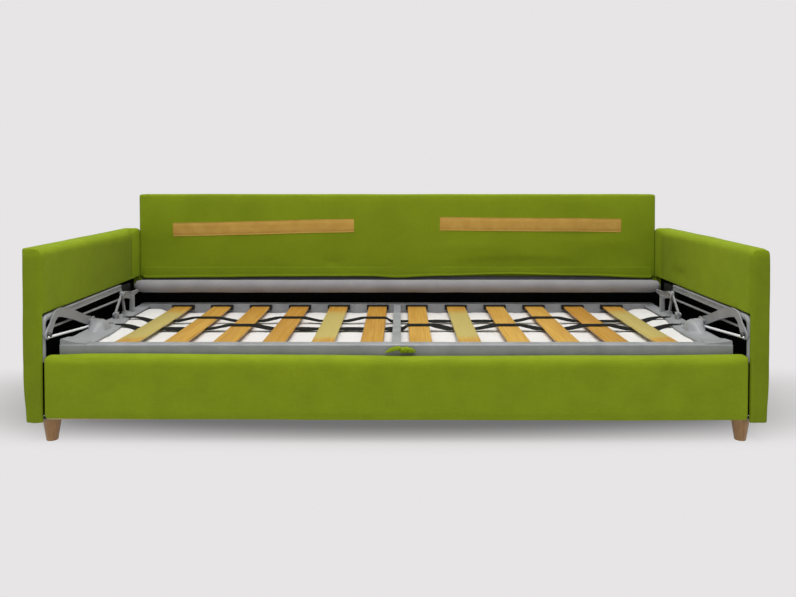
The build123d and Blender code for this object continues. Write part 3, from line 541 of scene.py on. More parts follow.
def arm_painted_shade(front, middle, rear, shade_start):
    """Painted shade on an arm, as the share of its colour left at each place: darker at the front end and
    more and more towards the fold near the backrest, a little lighter on the strip behind the fold, and not
    darkened along the top.
    """

    def tone(paint):
        y, z = paint.axes()[Y:]
        length = paint.spread(y, shade_start, FOLD - 0.06, middle, rear)
        start = paint.spread(y, ARM_LOW.y + 0.004, ARM_LOW.y + 0.024, front, 1.0)
        strip = paint.spread(y, FOLD - 0.002, FOLD + 0.004, 0.0, STRIP_SHADE_SHARE)
        top = paint.spread(z, ARM_HIGH.z - 0.090, ARM_HIGH.z - 0.010)
        length = paint.math("MINIMUM", length, start)
        return paint.math("MAXIMUM", paint.math("MAXIMUM", length, strip), top)

    return tone


def arm_shell(name):
    """Hollow arm, measured from its inner face: front block, outer skin, inner pad and rear flap."""
    near = (0.003, 0.007, 0.013, 0.020)
    fold_steps = [FOLD + 0.005 * step for step in range(-1, 3)]
    walls = [ARM_LOW.y + ARM_FRONT_SKIN, REAR_WALL, FLAP_START, *fold_steps]
    xs = stops(0, ARM_THICKNESS, 0.012, (0.003, ARM_OUTER_SKIN, 0.013), (ARM_PAD, 0.025, 0.033))
    ys = stops(ARM_LOW.y, ARM_END.y, 0.013, near, walls)
    zs = stops(ARM_LOW.z, ARM_END.z, 0.011, near, [FLAP_BOTTOM, PAD_BOTTOM, PAD_BOTTOM + 0.005])

    def inside(x, y, z):
        if y > FLAP_START:
            return x < FLAP_WIDTH and z > FLAP_BOTTOM
        walled = x > ARM_THICKNESS - ARM_OUTER_SKIN or (y > REAR_WALL and x > ARM_PAD)
        return walled or z > PAD_BOTTOM or y < ARM_LOW.y + ARM_FRONT_SKIN

    return cell_shell(name, xs, ys, zs, inside)


def round_arm(piece, front_corner, top_front):
    """Rounds an arm's edges. The top ones change along it: the outer at the front, the inner at the flap."""
    faces = faces_of(ARM_LOW, ARM_END)
    faces.update(inner=(X, 0, -1), outer=(X, ARM_THICKNESS, 1), wall=(Y, FLAP_START, 1))

    def inner_radii(point):
        radius = 0.024 - 0.016 * smooth_between(point.y, FLAP_START - 0.06, FLAP_START)
        return radius, radius

    def outer_radii(point):
        near_front = 1 - smooth_between(point.y, ARM_LOW.y + 0.03, ARM_LOW.y + 0.4)
        radius = 0.006 + (front_corner - 0.006) * near_front
        return radius, radius

    def front_radii(point):
        share = smooth_between(point.z, PAD_BOTTOM - 0.03, PAD_BOTTOM + 0.05)
        return 0.011 + 0.009 * share, 0.008 + 0.010 * share

    ease_edges(piece, faces, ("top", "inner", inner_radii), ("top", "outer", outer_radii),
               ("front", "inner", front_radii), ("front", "outer", 0.007), ("front", "top", top_front),
               ("rear", "top", 0.003), ("wall", "outer", 0.005), ("rear", "outer", 0.003),
               ("bottom", "outer", 0.005), ("bottom", "front", 0.006))


def soften_arm(piece, side, taper):
    """Uneven cloth, a crowned top, a wavy lower edge, and an outer face that hangs in towards the floor."""

    def change(point, normal):
        free = 1.0 if point.x > 0.001 or point.z > PAD_BOTTOM + 0.004 else 0.25
        lump = 0.0012 * cloud(point, 0.16, side * 3 + 5) + 0.0005 * cloud(point, 0.045, side + 9)
        point += normal * free * lump
        hang = 1 - smooth_between(point.z, ARM_LOW.z, ARM_LOW.z + 0.12)
        point.x -= taper * hang * smooth_between(point.x, ARM_THICKNESS * 0.4, ARM_THICKNESS)
        behind = smooth_between(point.y, FLAP_START - 0.006, FLAP_START + 0.010)
        point.z += (ARM_CROWN - 0.010 * behind) * smooth_between(point.z, ARM_END.z - 0.10, ARM_END.z)
        if point.z < ARM_LOW.z + 0.02:
            edge = 1 - smooth_between(point.z, ARM_LOW.z, ARM_LOW.z + 0.02)
            point.z += 0.0022 * cloud(point, 0.022, side * 7) * edge
        return point

    reshape(piece, change)


def arm_held(point):
    """Says where an arm's cloth is fixed to its board."""
    rim = point.y < ARM_LOW.y + 0.022 or point.y > ARM_END.y - 0.040
    return rim or point.x > ARM_THICKNESS - 0.012 or point.z < PAD_BOTTOM + 0.006


def tuck_arm(piece, side, pull, dimple, pleats):
    """Draws the inner cloth into an upright fold near the rear end, with pleats across and a dimple ahead."""
    pleat_low, pleat_high = pleats

    def change(point, normal):
        facing = smooth_between(-normal.x, 0.3, 0.8)
        on_pad = point.x < ARM_PAD and (point.z > PAD_BOTTOM - 0.001 or point.y > FOLD)
        if not facing or not on_pad:
            return point
        fold = 0.0018 * smooth_between(point.y, FOLD - 0.003, FOLD + 0.003)
        pulled = smooth_between(point.y, FOLD - 0.070, FOLD + 0.005)
        fold += pull * (smooth_between(point.y, FOLD + 0.008, FOLD + 0.052) - pulled)
        fold += 0.0012 * smooth_between(point.y, FOLD + 0.008, FOLD + 0.050)
        point.x -= fold * facing * (1 - smooth_between(point.y, ARM_HIGH.y - 0.001, ARM_HIGH.y + 0.006))
        window = smooth_between(point.z, pleat_low - 0.02, pleat_low)
        window *= 1 - smooth_between(point.z, pleat_high, pleat_high + 0.02)
        ridge = math.sin(2 * math.pi * (point.z - pleat_low) / 0.026) * bump_at(point.y, FOLD + 0.01, 0.03)
        point.x -= 0.0016 * window * ridge
        lower_edge = 1 - smooth_between(point.z, PAD_BOTTOM, PAD_BOTTOM + 0.05)
        lower_edge *= smooth_between(point.z, PAD_BOTTOM - 0.005, PAD_BOTTOM)
        point.x -= 0.0012 * lower_edge * cloud(point, 0.05, side + 21)
        hollow = bump_at(point.y, ARM_END.y - 0.26, 0.09) * bump_at(point.z, PAD_BOTTOM + 0.045, 0.03)
        point.x += dimple * hollow
        return point

    reshape(piece, change)


def build_arm(word, tone, front_corner, top_front, taper, **tuck):
    """Padded arm, made as the right one and mirrored for the left."""
    side = SIDES[word]
    piece = arm_shell("arm_upholstery_" + word)
    round_arm(piece, front_corner, top_front)
    soften_arm(piece, side, taper)
    swell(piece, arm_held, cap=0.003)
    tuck_arm(piece, side, **tuck)
    reshape(piece, lambda point, normal: Vector((side * (ARM_LOW.x + point.x), point.y, point.z)))
    if side < 0:
        piece.data.flip_normals()
    # The tone paints shade into the arm's cloth.
    cloth = woven("upholstery_arm_" + word, *GREEN, tone=tone, sheen_weight=0.12, **WEAVE)
    dress(piece, "base", "upholstery", "arm_cover_" + word, material=cloth, levels=1)


# Tone arguments: painted shade at the front end, in the middle and at the rear, and where the rear darkening
# starts.
build_arm("right", arm_painted_shade(0.80, 1.0, 0.75, -0.10), front_corner=0.024, top_front=0.012, taper=0.004,
          pull=0.0048, dimple=0.004, pleats=(PAD_BOTTOM + 0.06, PAD_BOTTOM + 0.14))
build_arm("left", arm_painted_shade(0.83, 0.86, 0.60, -0.27), front_corner=0.005, top_front=0.006, taper=0.007,
          pull=0.0088, dimple=0.0012, pleats=(PAD_BOTTOM + 0.005, PAD_BOTTOM + 0.05))


# Front panel

PANEL_TOP_LINE = ((-1.04, -0.002), (-0.9, 0.003), (-0.3, 0.0), (0.1, -0.0035), (0.6, -0.002), (1.04, -0.001))
PANEL_BOTTOM_LINE = ((-1.04, 0.003), (-0.7, 0.001), (0.0, -0.001), (0.8, -0.003), (1.04, -0.001))


def build_panel():
    """Front panel with a softly rounded top and ends."""
    low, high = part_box("front_panel_cover")
    near = (0.003, 0.007, 0.012, 0.019)
    xs = stops(low.x, high.x, 0.016, near)
    ys = stops(low.y, high.y, 0.010, (0.003, 0.007, 0.013, 0.020))
    piece = cell_shell("front_panel_upholstery", xs, ys, stops(low.z, high.z, 0.011, near))
    faces = faces_of(low, high)
    ease_edges(piece, faces, ("front", "top", 0.022), ("rear", "top", 0.012), ("front", "bottom", 0.007),
               ("rear", "bottom", 0.004))
    for end in SIDES:
        ease_edges(piece, faces, ("front", end, 0.009), ("top", end, 0.006),
                   ("bottom", end, lambda point: (0.012, 0.008)))

    def soften(point, normal):
        share = smooth_between(point.z, low.z, high.z)
        top = share * through(point.x, PANEL_TOP_LINE)
        point.z += top + (1 - share) * through(point.x, PANEL_BOTTOM_LINE)
        return point + normal * (0.0010 * cloud(point, 0.22, 2) + 0.0004 * cloud(point, 0.05, 4))

    def nailed(point):
        return point.y > high.y - 0.004 or point.z < low.z + 0.012 or abs(point.x) > high.x - 0.022

    reshape(piece, soften)
    swell(piece, nailed, cap=0.0025)
    dress(piece, "base", "upholstery", "front_panel_cover", levels=1)


build_panel()


# Backrest with its hem, lining and tapes

BACK_SKIN = 0.008
BACK_SIDE = 0.010
DENT_LIMIT = 0.0058
# Each dent has its place across and up, its half width and half height, and its depth
DENTS = ((0.47, 0.425, 0.34, 0.045, 0.011), (0.86, 0.450, 0.16, 0.08, 0.010),
         (-0.26, 0.440, 0.05, 0.018, 0.004), (0.72, 0.555, 0.16, 0.03, 0.004),
         (-0.93, 0.47, 0.16, 0.10, 0.006), (0.30, 0.50, 0.30, 0.03, -0.002))
HEM_LINE = ((-1.03, 0.373), (-0.80, 0.376), (-0.45, 0.380), (-0.12, 0.381), (0.0, 0.375), (0.16, 0.382),
            (0.45, 0.389), (0.75, 0.383), (1.03, 0.373))
HEM_ROWS = 9
HEM_COLUMNS = 230
TAPE_WIDTH = 0.054
TAPE_COLUMNS = 90
TAPE_TILT = {"left": -1.3, "right": 0.6}
STITCH_ROW = 0.42
LINING_ROWS = 12
LINING_COLUMNS = 60


def build_back():
    """Backrest: padded block above, plain cloth down its back and sides."""
    low, high = BACK_LOW, BACK_HIGH
    near = (0.003, 0.007, 0.012)
    xs = stops(low.x, high.x, 0.017, near, (low.x + BACK_SIDE, high.x - BACK_SIDE))
    ys = stops(low.y, high.y, 0.014, near, (high.y - BACK_SKIN,))
    zs = stops(low.z, high.z, 0.013, near, (PAD_BOTTOM, PAD_BOTTOM + 0.005))

    def inside(x, y, z):
        sided = abs(x) > high.x - BACK_SIDE and y > low.y + BACK_SKIN
        return z > PAD_BOTTOM or y > high.y - BACK_SKIN or sided

    piece = cell_shell("backrest_upholstery", xs, ys, zs, inside)
    faces = faces_of(low, high)
    ease_edges(piece, faces, ("front", "top", 0.009), ("rear", "top", 0.014))
    for end in SIDES:
        ease_edges(piece, faces, ("front", end, 0.007), ("rear", end, 0.010), ("top", end, 0.008))

    def soften(point, normal):
        return point + normal * (0.0012 * cloud(point, 0.25, 12) + 0.0004 * cloud(point, 0.06, 14))

    def boarded(point):
        rim = point.z > high.z - 0.008 or abs(point.x) > high.x - 0.014
        return rim or point.z < PAD_BOTTOM + 0.010 or point.y > high.y - 0.03

    def dent(point, normal):
        if normal.y > -0.5 or point.z < PAD_BOTTOM:
            return point
        dented = 0.0
        for x, z, half_width, half_height, depth in DENTS:
            reach = math.hypot((point.x - x) / half_width, (point.z - z) / half_height)
            dented += depth * smooth_between(1 - reach, 0, 1)
        point.y += DENT_LIMIT * math.tanh(dented / DENT_LIMIT)
        return point

    reshape(piece, soften)
    swell(piece, boarded, cap=0.002)
    reshape(piece, dent)
    dress(piece, "base", "upholstery", "back_cover", material=BACK_CLOTH_SHADED, levels=1)
    return piece


def build_hem():
    """Loose lower edge of the backrest cloth: a folded strip that hangs in slow waves."""
    low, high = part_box("back_hem")
    rings = []
    for column in range(HEM_COLUMNS + 1):
        x = low.x + (high.x - low.x) * column / HEM_COLUMNS
        bottom = through(x, HEM_LINE) + 0.0008 * cloud((x, 0, 0), 0.05, 3)
        wave = 0.0016 * cloud((x, 0, 0), 0.16, 1) + 0.0006 * cloud((x, 0, 0), 0.04, 6)
        outside = []
        inside = []
        for row in range(HEM_ROWS):
            share = row / (HEM_ROWS - 1)
            z = bottom + (high.z - bottom) * share
            fold = 0.0018 * bump_at(share, 0.12, 0.14)
            crease = 0.0012 * bump_at(share, 0.30, 0.10)
            y = high.y - 0.0022 - (1 - share) * (0.0015 + wave) - fold + crease
            outside.append((x, y, z))
            inside.append((x, y + 0.0012 + fold, z))
        rings.append(outside + inside[::-1])
    piece = Form().loft(rings).build("backrest_hem")
    dress(piece, "base", "upholstery", "back_hem", material=BACK_CLOTH_SHADED, levels=1)


def build_lining():
    """Dark cloth stretched over the backrest board, seen where the hem hangs high."""
    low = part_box("back_board")[0]
    top = PAD_BOTTOM + 0.03
    reach = BACK_HIGH.x - BACK_SIDE
    rings = []
    for column in range(LINING_COLUMNS + 1):
        x = reach * (2 * column / LINING_COLUMNS - 1)
        outside = []
        for row in range(LINING_ROWS + 1):
            z = low.z + (top - low.z) * row / LINING_ROWS
            outside.append((x, low.y - 0.0012 - 0.0008 * (1 + cloud((x, 0, z), 0.12, 9)), z))
        inside = [(x, low.y - 0.0002, z) for x, _, z in outside]
        rings.append(outside + inside[::-1])
    piece = Form().loft(rings).build("back_lining")
    dress(piece, "base", "roll_fabric", material=LINING)


def build_tape(word, backrest):
    """Hook-and-loop tape sewn to the backrest, a little wavy, with a stitch line near each edge."""
    low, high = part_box("grip_strip_" + word)
    middle = middle_of("grip_strip_" + word)
    tilt = math.radians(TAPE_TILT[word])
    length = high.x - low.x - abs(math.sin(tilt)) * TAPE_WIDTH
    cloth = backrest.evaluated_get(bpy.context.evaluated_depsgraph_get())
    rings = []
    for column in range(TAPE_COLUMNS + 1):
        along = (column / TAPE_COLUMNS - 0.5) * length
        bend = 0.0016 * cloud((along, 0, 0), 0.3, 5) + 0.0006 * cloud((along, 0, 0), 0.07, 8)
        outside = []
        inside = []
        for share in (-0.5, -0.44, -STITCH_ROW, -0.40, -0.2, 0, 0.2, 0.40, STITCH_ROW, 0.44, 0.5):
            stitch = 0.0005 if abs(share) == STITCH_ROW else 0.0
            lift = 0.0010 + 0.0006 * cloud((along, share * 0.05, 0), 0.06, 2) - stitch
            x = middle.x + along * math.cos(tilt) + share * TAPE_WIDTH * math.sin(tilt)
            z = middle.z - along * math.sin(tilt) + share * TAPE_WIDTH * math.cos(tilt) + bend
            found, place, _, _ = cloth.ray_cast((x, BACK_LOW.y - 0.1, z), (0, 1, 0))
            face = place.y if found else BACK_LOW.y
            outside.append((x, face - 0.0006 - lift, z))
            inside.append((x, face + 0.0012, z))
        rings.append(outside + inside[::-1])
    piece = Form().loft(rings).build("grip_tape_" + word, sharp=50)
    dress(piece, "base", "grip_tape", "grip_strip_" + word)


back_cloth = build_back()
build_hem()
build_lining()
for end_word in SIDES:
    build_tape(end_word, back_cloth)


# Slats and straps

SLAT_COUNT = 6
SLAT_WIDTH = 0.072
SLAT_THICKNESS = 0.008
SLAT_BOW = 0.003
SLAT_STEPS = 24
SLAT_PITCH = (SLAT_HIGH.x - SLAT_LOW.x - SLAT_WIDTH) / (SLAT_COUNT - 1)
SLAT_FIRST = SLAT_LOW.x + SLAT_WIDTH / 2
SLAT_XS = [side * (SLAT_FIRST + SLAT_PITCH * number) for side in (-1, 1) for number in range(SLAT_COUNT)]
# Slats that show the painted reflection of the backrest.
REFLECTING_SLATS = (1, 5, 8, 12)
CAP_WALL = 0.0015
CAP_DEPTH = 0.010
CAP_GAP = 0.0004
STRAP_THICKNESS = 0.0026
STRAP_GAP = 0.0012
STRAP_GATHERED = 0.018
STRAP_COLUMNS = 300


def slat_top(y):
    """Height of a bowed slat's top face."""
    middle = (SLAT_LOW.y + SLAT_HIGH.y) / 2
    share = (y - middle) / (SLAT_HIGH.y - middle)
    return SLAT_HIGH.z - SLAT_BOW * (1 - share * share)


def build_slats():
    """Bowed beech slats with rounded long edges, each one its own piece."""
    for number, x in enumerate(sorted(SLAT_XS), 1):
        rings = []
        for step in range(SLAT_STEPS + 1):
            y = SLAT_LOW.y + (SLAT_HIGH.y - SLAT_LOW.y) * step / SLAT_STEPS
            wobble = 0.0004 * cloud((x * 9, y, 0), 0.3, 3)
            middle = (x + wobble, y, slat_top(y) - SLAT_THICKNESS / 2)
            rings.append(flat_ring(middle, (1, 0, 0), (0, 0, 1), SLAT_WIDTH, SLAT_THICKNESS))
        piece = Form().loft(rings).build(f"slat_{number}", sharp=50)
        node = "slats_left" if x < 0 else "slats_right"
        dress(piece, "deck", "slat_beech", node, material=SLAT_PAINTED_REFLECTION if number in REFLECTING_SLATS else None)


def build_front_caps():
    """Short open caps under the front ends of the slats, hidden by the front rail."""
    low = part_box("slat_caps_front")[0]
    top = slat_top(low.y + CAP_DEPTH / 2)
    seat = SLAT_WIDTH / 2 + CAP_GAP
    floor = top - SLAT_THICKNESS - CAP_GAP
    foot = top - SLAT_THICKNESS - 0.004
    edge = SLAT_WIDTH / 2 + 0.004
    lip = edge - 0.003
    outline = ((-edge, foot), (edge, foot), (edge, top + CAP_WALL), (lip, top + CAP_WALL), (seat, top),
               (seat, floor), (-seat, floor), (-seat, top), (-lip, top + CAP_WALL), (-edge, top + CAP_WALL))
    form = Form()
    for x in SLAT_XS:
        form.loft([[(x + across, low.y + along, z) for across, z in outline]
                   for along in (0.0, 0.001, CAP_DEPTH - 0.001, CAP_DEPTH)])
    piece = form.build("front_slat_holders", sharp=30)
    dress(piece, "deck", "black_plastic", "slat_caps_front")


def build_strap(name, node, width, weave, seed):
    """Elastic webbing woven over (o) and under (u) the slats, gathered where its ends are bolted."""
    low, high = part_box(node)
    y = (low.y + high.y) / 2
    half = SLAT_WIDTH / 2
    over = slat_top(y) + STRAP_THICKNESS / 2 + STRAP_GAP
    under = slat_top(y) - SLAT_THICKNESS - STRAP_THICKNESS / 2 - STRAP_GAP
    end = PLATE_TOP + STRAP_THICKNESS / 2 + 0.0004
    knots = [(low.x, end), (low.x + 0.045, end)]
    for x, letter in zip(sorted(SLAT_XS), weave):
        level = over if letter == "o" else under
        knots.extend(((x - half + 0.004, level), (x + half - 0.004, level)))
    knots.extend(((-0.017, under), (0.017, under), (high.x - 0.045, end), (high.x, end)))
    knots.sort()
    rings = []
    for column in range(STRAP_COLUMNS + 1):
        x = low.x + (high.x - low.x) * column / STRAP_COLUMNS
        to_end = min(x - low.x, high.x - x)
        spread = STRAP_GATHERED + (width - STRAP_GATHERED) * smooth_between(to_end, 0.012, 0.09)
        free = smooth_between(min(abs(x - centre) for centre in SLAT_XS), half, half + 0.02)
        twist = free * (0.20 + 0.25 * cloud((x, 0, 0), 0.11, seed))
        turn = 0.05 + twist * smooth_between(to_end, 0.05, 0.09)
        drift = 0.004 * cloud((x, 0, 0), 0.35, seed + 2) * smooth_between(to_end, 0, 0.1)
        middle = (x, y + drift, through(x, knots) - 0.0006 * free)
        side = Vector((0, math.cos(turn), math.sin(turn)))
        up = Vector((0, -math.sin(turn), math.cos(turn)))
        across = spread * (0.9 + 0.1 * (1 - free))
        rings.append(flat_ring(middle, side, up, across, STRAP_THICKNESS, corner=2))
    piece = Form().loft(rings).build(name)
    dress(piece, "deck", "black_elastic", node)


build_slats()
build_front_caps()
build_strap("front_elastic_strap", "front_strap", 0.030, "uuouuuououou", 4)
build_strap("rear_elastic_strap", "rear_strap", 0.025, "uouououuuouu", 7)


# Mattress

QUILT_PITCH = 0.105
QUILT_DEPTH = 0.0028
OPEN_END = max(SLAT_XS) + SLAT_WIDTH / 2 + 0.006
BAND_X = 0.700
BAND_WIDTH = 0.040
BAND_THICKNESS = 0.0022
BAND_GAP = 0.0012
BAND_CORNER = 0.022


def build_mattress():
    """Quilted foam mattress strapped under the slats."""
    low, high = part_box("mattress")
    low = low + Vector((0.004, 0.004, 0.002))
    high = high - Vector((0.004, 0.004, 0.005))
    near = (0.004, 0.009, 0.016, 0.024)
    xs = stops(low.x, high.x, 0.0155, near)
    ys = stops(low.y, high.y, 0.0155, near)
    piece = cell_shell("mattress_quilt", xs, ys, stops(low.z, high.z, 0.016, near))
    for end, face in (("left", "front"), ("right", "rear")):
        ease_edges(piece, faces_of(low, high), ("bottom", end, 0.022), ("top", end, 0.022),
                   ("bottom", face, 0.022), ("top", face, 0.022), (face, "left", 0.020),
                   (face, "right", 0.020))

    def quilt(point, normal):
        if abs(normal.z) <= 0.7:
            return point + normal * 0.0012 * cloud(point, 0.12, 4)
        upper = normal.z > 0
        rising = math.sin(math.pi * (point.x + point.y) / QUILT_PITCH)
        falling = math.sin(math.pi * (point.x - point.y) / QUILT_PITCH)
        puff = math.sqrt(abs(rising * falling))
        rim = smooth_between(min(point.y - low.y, high.y - point.y), 0.020, 0.045)
        rim = min(rim, smooth_between(high.x - abs(point.x), 0.002, 0.020))
        drop = (0.016 if upper else 0.004) * (1 - rim)
        banded = 0.003 * bump_at(abs(point.x), BAND_X, BAND_WIDTH)
        bulge = 0.0155 * smooth_between(abs(point.x), OPEN_END, OPEN_END + 0.04) if upper else 0.0
        return point + normal * (QUILT_DEPTH * (puff - 1) - drop - banded + bulge * rim)

    def strapped(point):
        return abs(abs(point.x) - BAND_X) < BAND_WIDTH / 2 or point.z > high.z - 0.012

    reshape(piece, quilt)
    swell(piece, strapped, cap=0.003, pressure=3.0)
    dress(piece, "deck", "mattress_ticking", "mattress", levels=1)


def build_bands():
    """Two webbing bands that hold the mattress to the deck."""
    low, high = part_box("mattress_bands")
    front = low.y + BAND_GAP + BAND_THICKNESS / 2
    rear = high.y - BAND_GAP - BAND_THICKNESS / 2
    bottom = low.z + BAND_THICKNESS / 2
    centre = bottom + BAND_CORNER
    quarter = [math.radians(90 * step / 6) for step in range(7)]
    path = [(front, high.z, -1, 0)]
    for angle in quarter:
        out, down = math.cos(angle), math.sin(angle)
        path.append((front + BAND_CORNER - BAND_CORNER * out, centre - BAND_CORNER * down, -out, -down))
    for step in range(1, 20):
        path.append((front + BAND_CORNER + (rear - front - 2 * BAND_CORNER) * step / 20, bottom, 0, -1))
    for angle in quarter:
        out, down = math.sin(angle), math.cos(angle)
        path.append((rear - BAND_CORNER + BAND_CORNER * out, centre - BAND_CORNER * down, out, -down))
    path.append((rear, high.z, 1, 0))
    form = Form()
    for x in (-BAND_X, BAND_X):
        form.loft([flat_ring((x, y, z), (1, 0, 0), (0, out, down), BAND_WIDTH, BAND_THICKNESS, corner=2)
                   for y, z, out, down in path])
    piece = form.build("mattress_webbing")
    dress(piece, "deck", "black_elastic", "mattress_bands")


build_mattress()
build_bands()


# Foot roll

ROLL_CENTRE = middle_of("foot_roll")
ROLL_RADIUS = (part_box("foot_roll")[1].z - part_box("foot_roll")[0].z) / 2
ROLL_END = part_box("roll_ends")[1].x
ROLL_TAPER = 0.046
ROLL_CAP = 0.006
ROLL_SIDES = 40
ROLL_COLUMNS = 200


def build_roll():
    """Foam roll in a cloth sleeve, with soft rounded ends and a seam along its underside."""
    rings = []
    for column in range(ROLL_COLUMNS + 1):
        x = ROLL_END * (2 * (column / ROLL_COLUMNS) - 1)
        to_end = ROLL_END - abs(x)
        radius = ROLL_RADIUS * (0.66 + 0.34 * math.sin(math.pi / 2 * min(1, to_end / ROLL_TAPER)) ** 0.7)
        if to_end < ROLL_CAP:
            radius *= math.sqrt(max(0.04, 1 - (1 - to_end / ROLL_CAP) ** 2))
        ring = []
        for step in range(ROLL_SIDES):
            angle = 2 * math.pi * step / ROLL_SIDES
            across, up = math.cos(angle), math.sin(angle)
            lump = 0.0007 * cloud((x, across * 0.03, up * 0.03), 0.09, 3)
            seam = 0.0012 * bump_at(math.degrees(angle), 262, 9)
            gather = 0.0006 * math.cos(angle * 18) * smooth_between(1 - to_end / 0.05, 0, 1)
            reach = radius - 0.0006 + lump - seam + gather
            ring.append((x, ROLL_CENTRE.y + reach * across, ROLL_CENTRE.z + reach * up))
        rings.append(ring)
    piece = Form().loft(rings).build("foot_roll_sleeve")
    dress(piece, "leg_frame", "roll_fabric", "foot_roll", "roll_ends")


build_roll()


# End plates and hub brackets

PLATE_SHEET = 0.0024
PLATE_LIP = 0.006
PLATE_FRONT_TOP = END_HIGH.z - 0.0004
PLATE_INNER = END_LOW.x - 0.008
PLATE_INNER_BACK = END_LOW.x + 0.031
PLATE_WALLS = (DECK_HIGH.y + 0.0002, DECK_HIGH.y + 0.0012)
PLATE_RIM = ((0.0040, 0.0004), (0.0012, 0.0009), (0.0, 0.0023))
PLATE_STOPS = (-0.386, -0.350, -0.300, -0.150, 0.100, 0.284)
PLATE_EDGES = {"left": (0.2990, 0.2960, 0.2885, 0.2890, 0.2840, 0.2810),
               "right": (0.2935, 0.2910, 0.2835, 0.2835, 0.2830, 0.2810)}
HUB_CENTRE = middle_of("hub_pins")
HUB_INNER = END_HIGH.x - 0.055
HUB_SHOULDER = 0.0125
HUB_RISE = 0.0305
HUB_SLOPE = 0.09
HUB_FRONT_REACH = 0.104
HUB_BACK_REACH = 0.046
HUB_FLAT = 0.013
HUB_STEPS = 24
HUB_BOLT = ((0.004, 0.0050), (-0.0008, 0.0050), (-0.0022, 0.0038), (-0.0026, 0.0018))
HUB_FLANGE = ((-0.0012, 0.0140), (-0.0012, 0.0156), (-0.0004, 0.0162), (0.0018, 0.0162), (0.0026, 0.0154),
              (0.0026, 0.008), (0.0012, 0.007), (0.0012, 0.001))


def build_end_plate(word):
    """Pressed end plate of the deck: it laps over the front rail, dips behind it and narrows to the rear."""
    rings = []
    outer = END_HIGH.x
    rail_top = DECK_HIGH.z + 0.0003
    edges = list(zip(PLATE_STOPS, PLATE_EDGES[word]))
    for y in stops(END_LOW.y, END_HIGH.y, 0.012, (0.0015,), PLATE_WALLS):
        dip = smooth_between(y, DECK_HIGH.y - 0.002, DECK_HIGH.y + 0.012)
        level = PLATE_FRONT_TOP - (PLATE_FRONT_TOP - PLATE_TOP) * dip
        edge = through(y, edges)
        along = (y - END_LOW.y) / (END_HIGH.y - END_LOW.y)
        inner = PLATE_INNER + (PLATE_INNER_BACK - PLATE_INNER) * smooth_between(along, 0.30, 0.75)
        walled = y > PLATE_WALLS[0] + 0.0001
        lip = PLATE_LIP if walled else PLATE_SHEET
        over = [(inner, level - lip), (inner, level - 0.0014), (inner + 0.0005, level - 0.0004),
                (inner + 0.0016, level)]
        for step in range(1, 8):
            share = step / 8
            over.append((inner + (outer - inner) * share, level + (edge - level) * share ** 1.6))
        over.extend((outer - across, edge - drop) for across, drop in PLATE_RIM)
        foot = END_LOW.z if walled else rail_top
        under = [(outer, foot), (outer - 0.0020, foot)]
        under.extend((x, z - PLATE_SHEET if walled else rail_top) for x, z in over[-3:2:-1])
        under.append((inner + 0.0016, level - lip if walled else rail_top))
        rings.append([(SIDES[word] * x, y, z) for x, z in over + under])
    piece = Form().loft(rings).build("end_plate_" + word, sharp=35)
    dress(piece, "deck", "grey_steel", "deck_end_rail_" + word)


def build_hub(word):
    """Pressed bracket that rises like a saddle from the end plate to the round hub."""
    side = SIDES[word]
    rings = []
    for step in range(HUB_STEPS + 1):
        across = (END_HIGH.x - 0.0004 - HUB_INNER) * step / HUB_STEPS
        height = 0.0010 + HUB_RISE * math.tanh(across / HUB_SHOULDER) + HUB_SLOPE * across
        wide = 0.5 + 0.5 * smooth_between(across, 0.0, 0.03)
        wide *= 1 - 0.55 * smooth_between(across, 0.040, 0.060)
        front = HUB_FLAT + (HUB_FRONT_REACH - HUB_FLAT) * wide
        back = HUB_FLAT + (HUB_BACK_REACH - HUB_FLAT) * wide
        ring = []
        for place in stops(-front, back, 0.004):
            fall = smooth_between(abs(place), HUB_FLAT, front if place < 0 else back)
            top = PLATE_TOP + height * (1 - fall) ** 1.25
            ring.append((side * (HUB_INNER + across), HUB_CENTRE.y + place, top))
        rings.append(ring)
    count = min(len(ring) for ring in rings)
    foot = PLATE_TOP - 0.0004
    even = []
    for ring in rings:
        picked = [ring[round(n * (len(ring) - 1) / (count - 1))] for n in range(count)]
        even.append(picked + [(*picked[-1][:Z], foot), (*picked[0][:Z], foot)])
    form = Form().loft(even)
    for across, place, height in ((0.0120, 0.012, 0.0165), (0.0095, -0.024, 0.0105)):
        centre = (side * (HUB_INNER + across), HUB_CENTRE.y + place, PLATE_TOP + height)
        form.turned(HUB_BOLT, centre, X, sides=6, facing=side)
    form.turned(HUB_FLANGE, (side * END_HIGH.x, HUB_CENTRE.y, HUB_CENTRE.z), X, sides=36, facing=side)
    piece = form.build("hub_saddle_" + word, sharp=38)
    dress(piece, "deck", "grey_steel", "hub_bracket_" + word)


for end_word in SIDES:
    build_end_plate(end_word)
    build_hub(end_word)


# Side frames

LEG_WIDTH = 0.015
LEG_CORNER = 0.030
PIVOT = middle_of("pivot_pins")
BOSS = ((0.0004, 0.009), (0.0004, 0.0105), (0.0012, 0.0112), (0.010, 0.0112))
STRUT_WIDTH = 0.0070
STRUT_THICKNESS = 0.010
STRUT_FALL = 0.0095


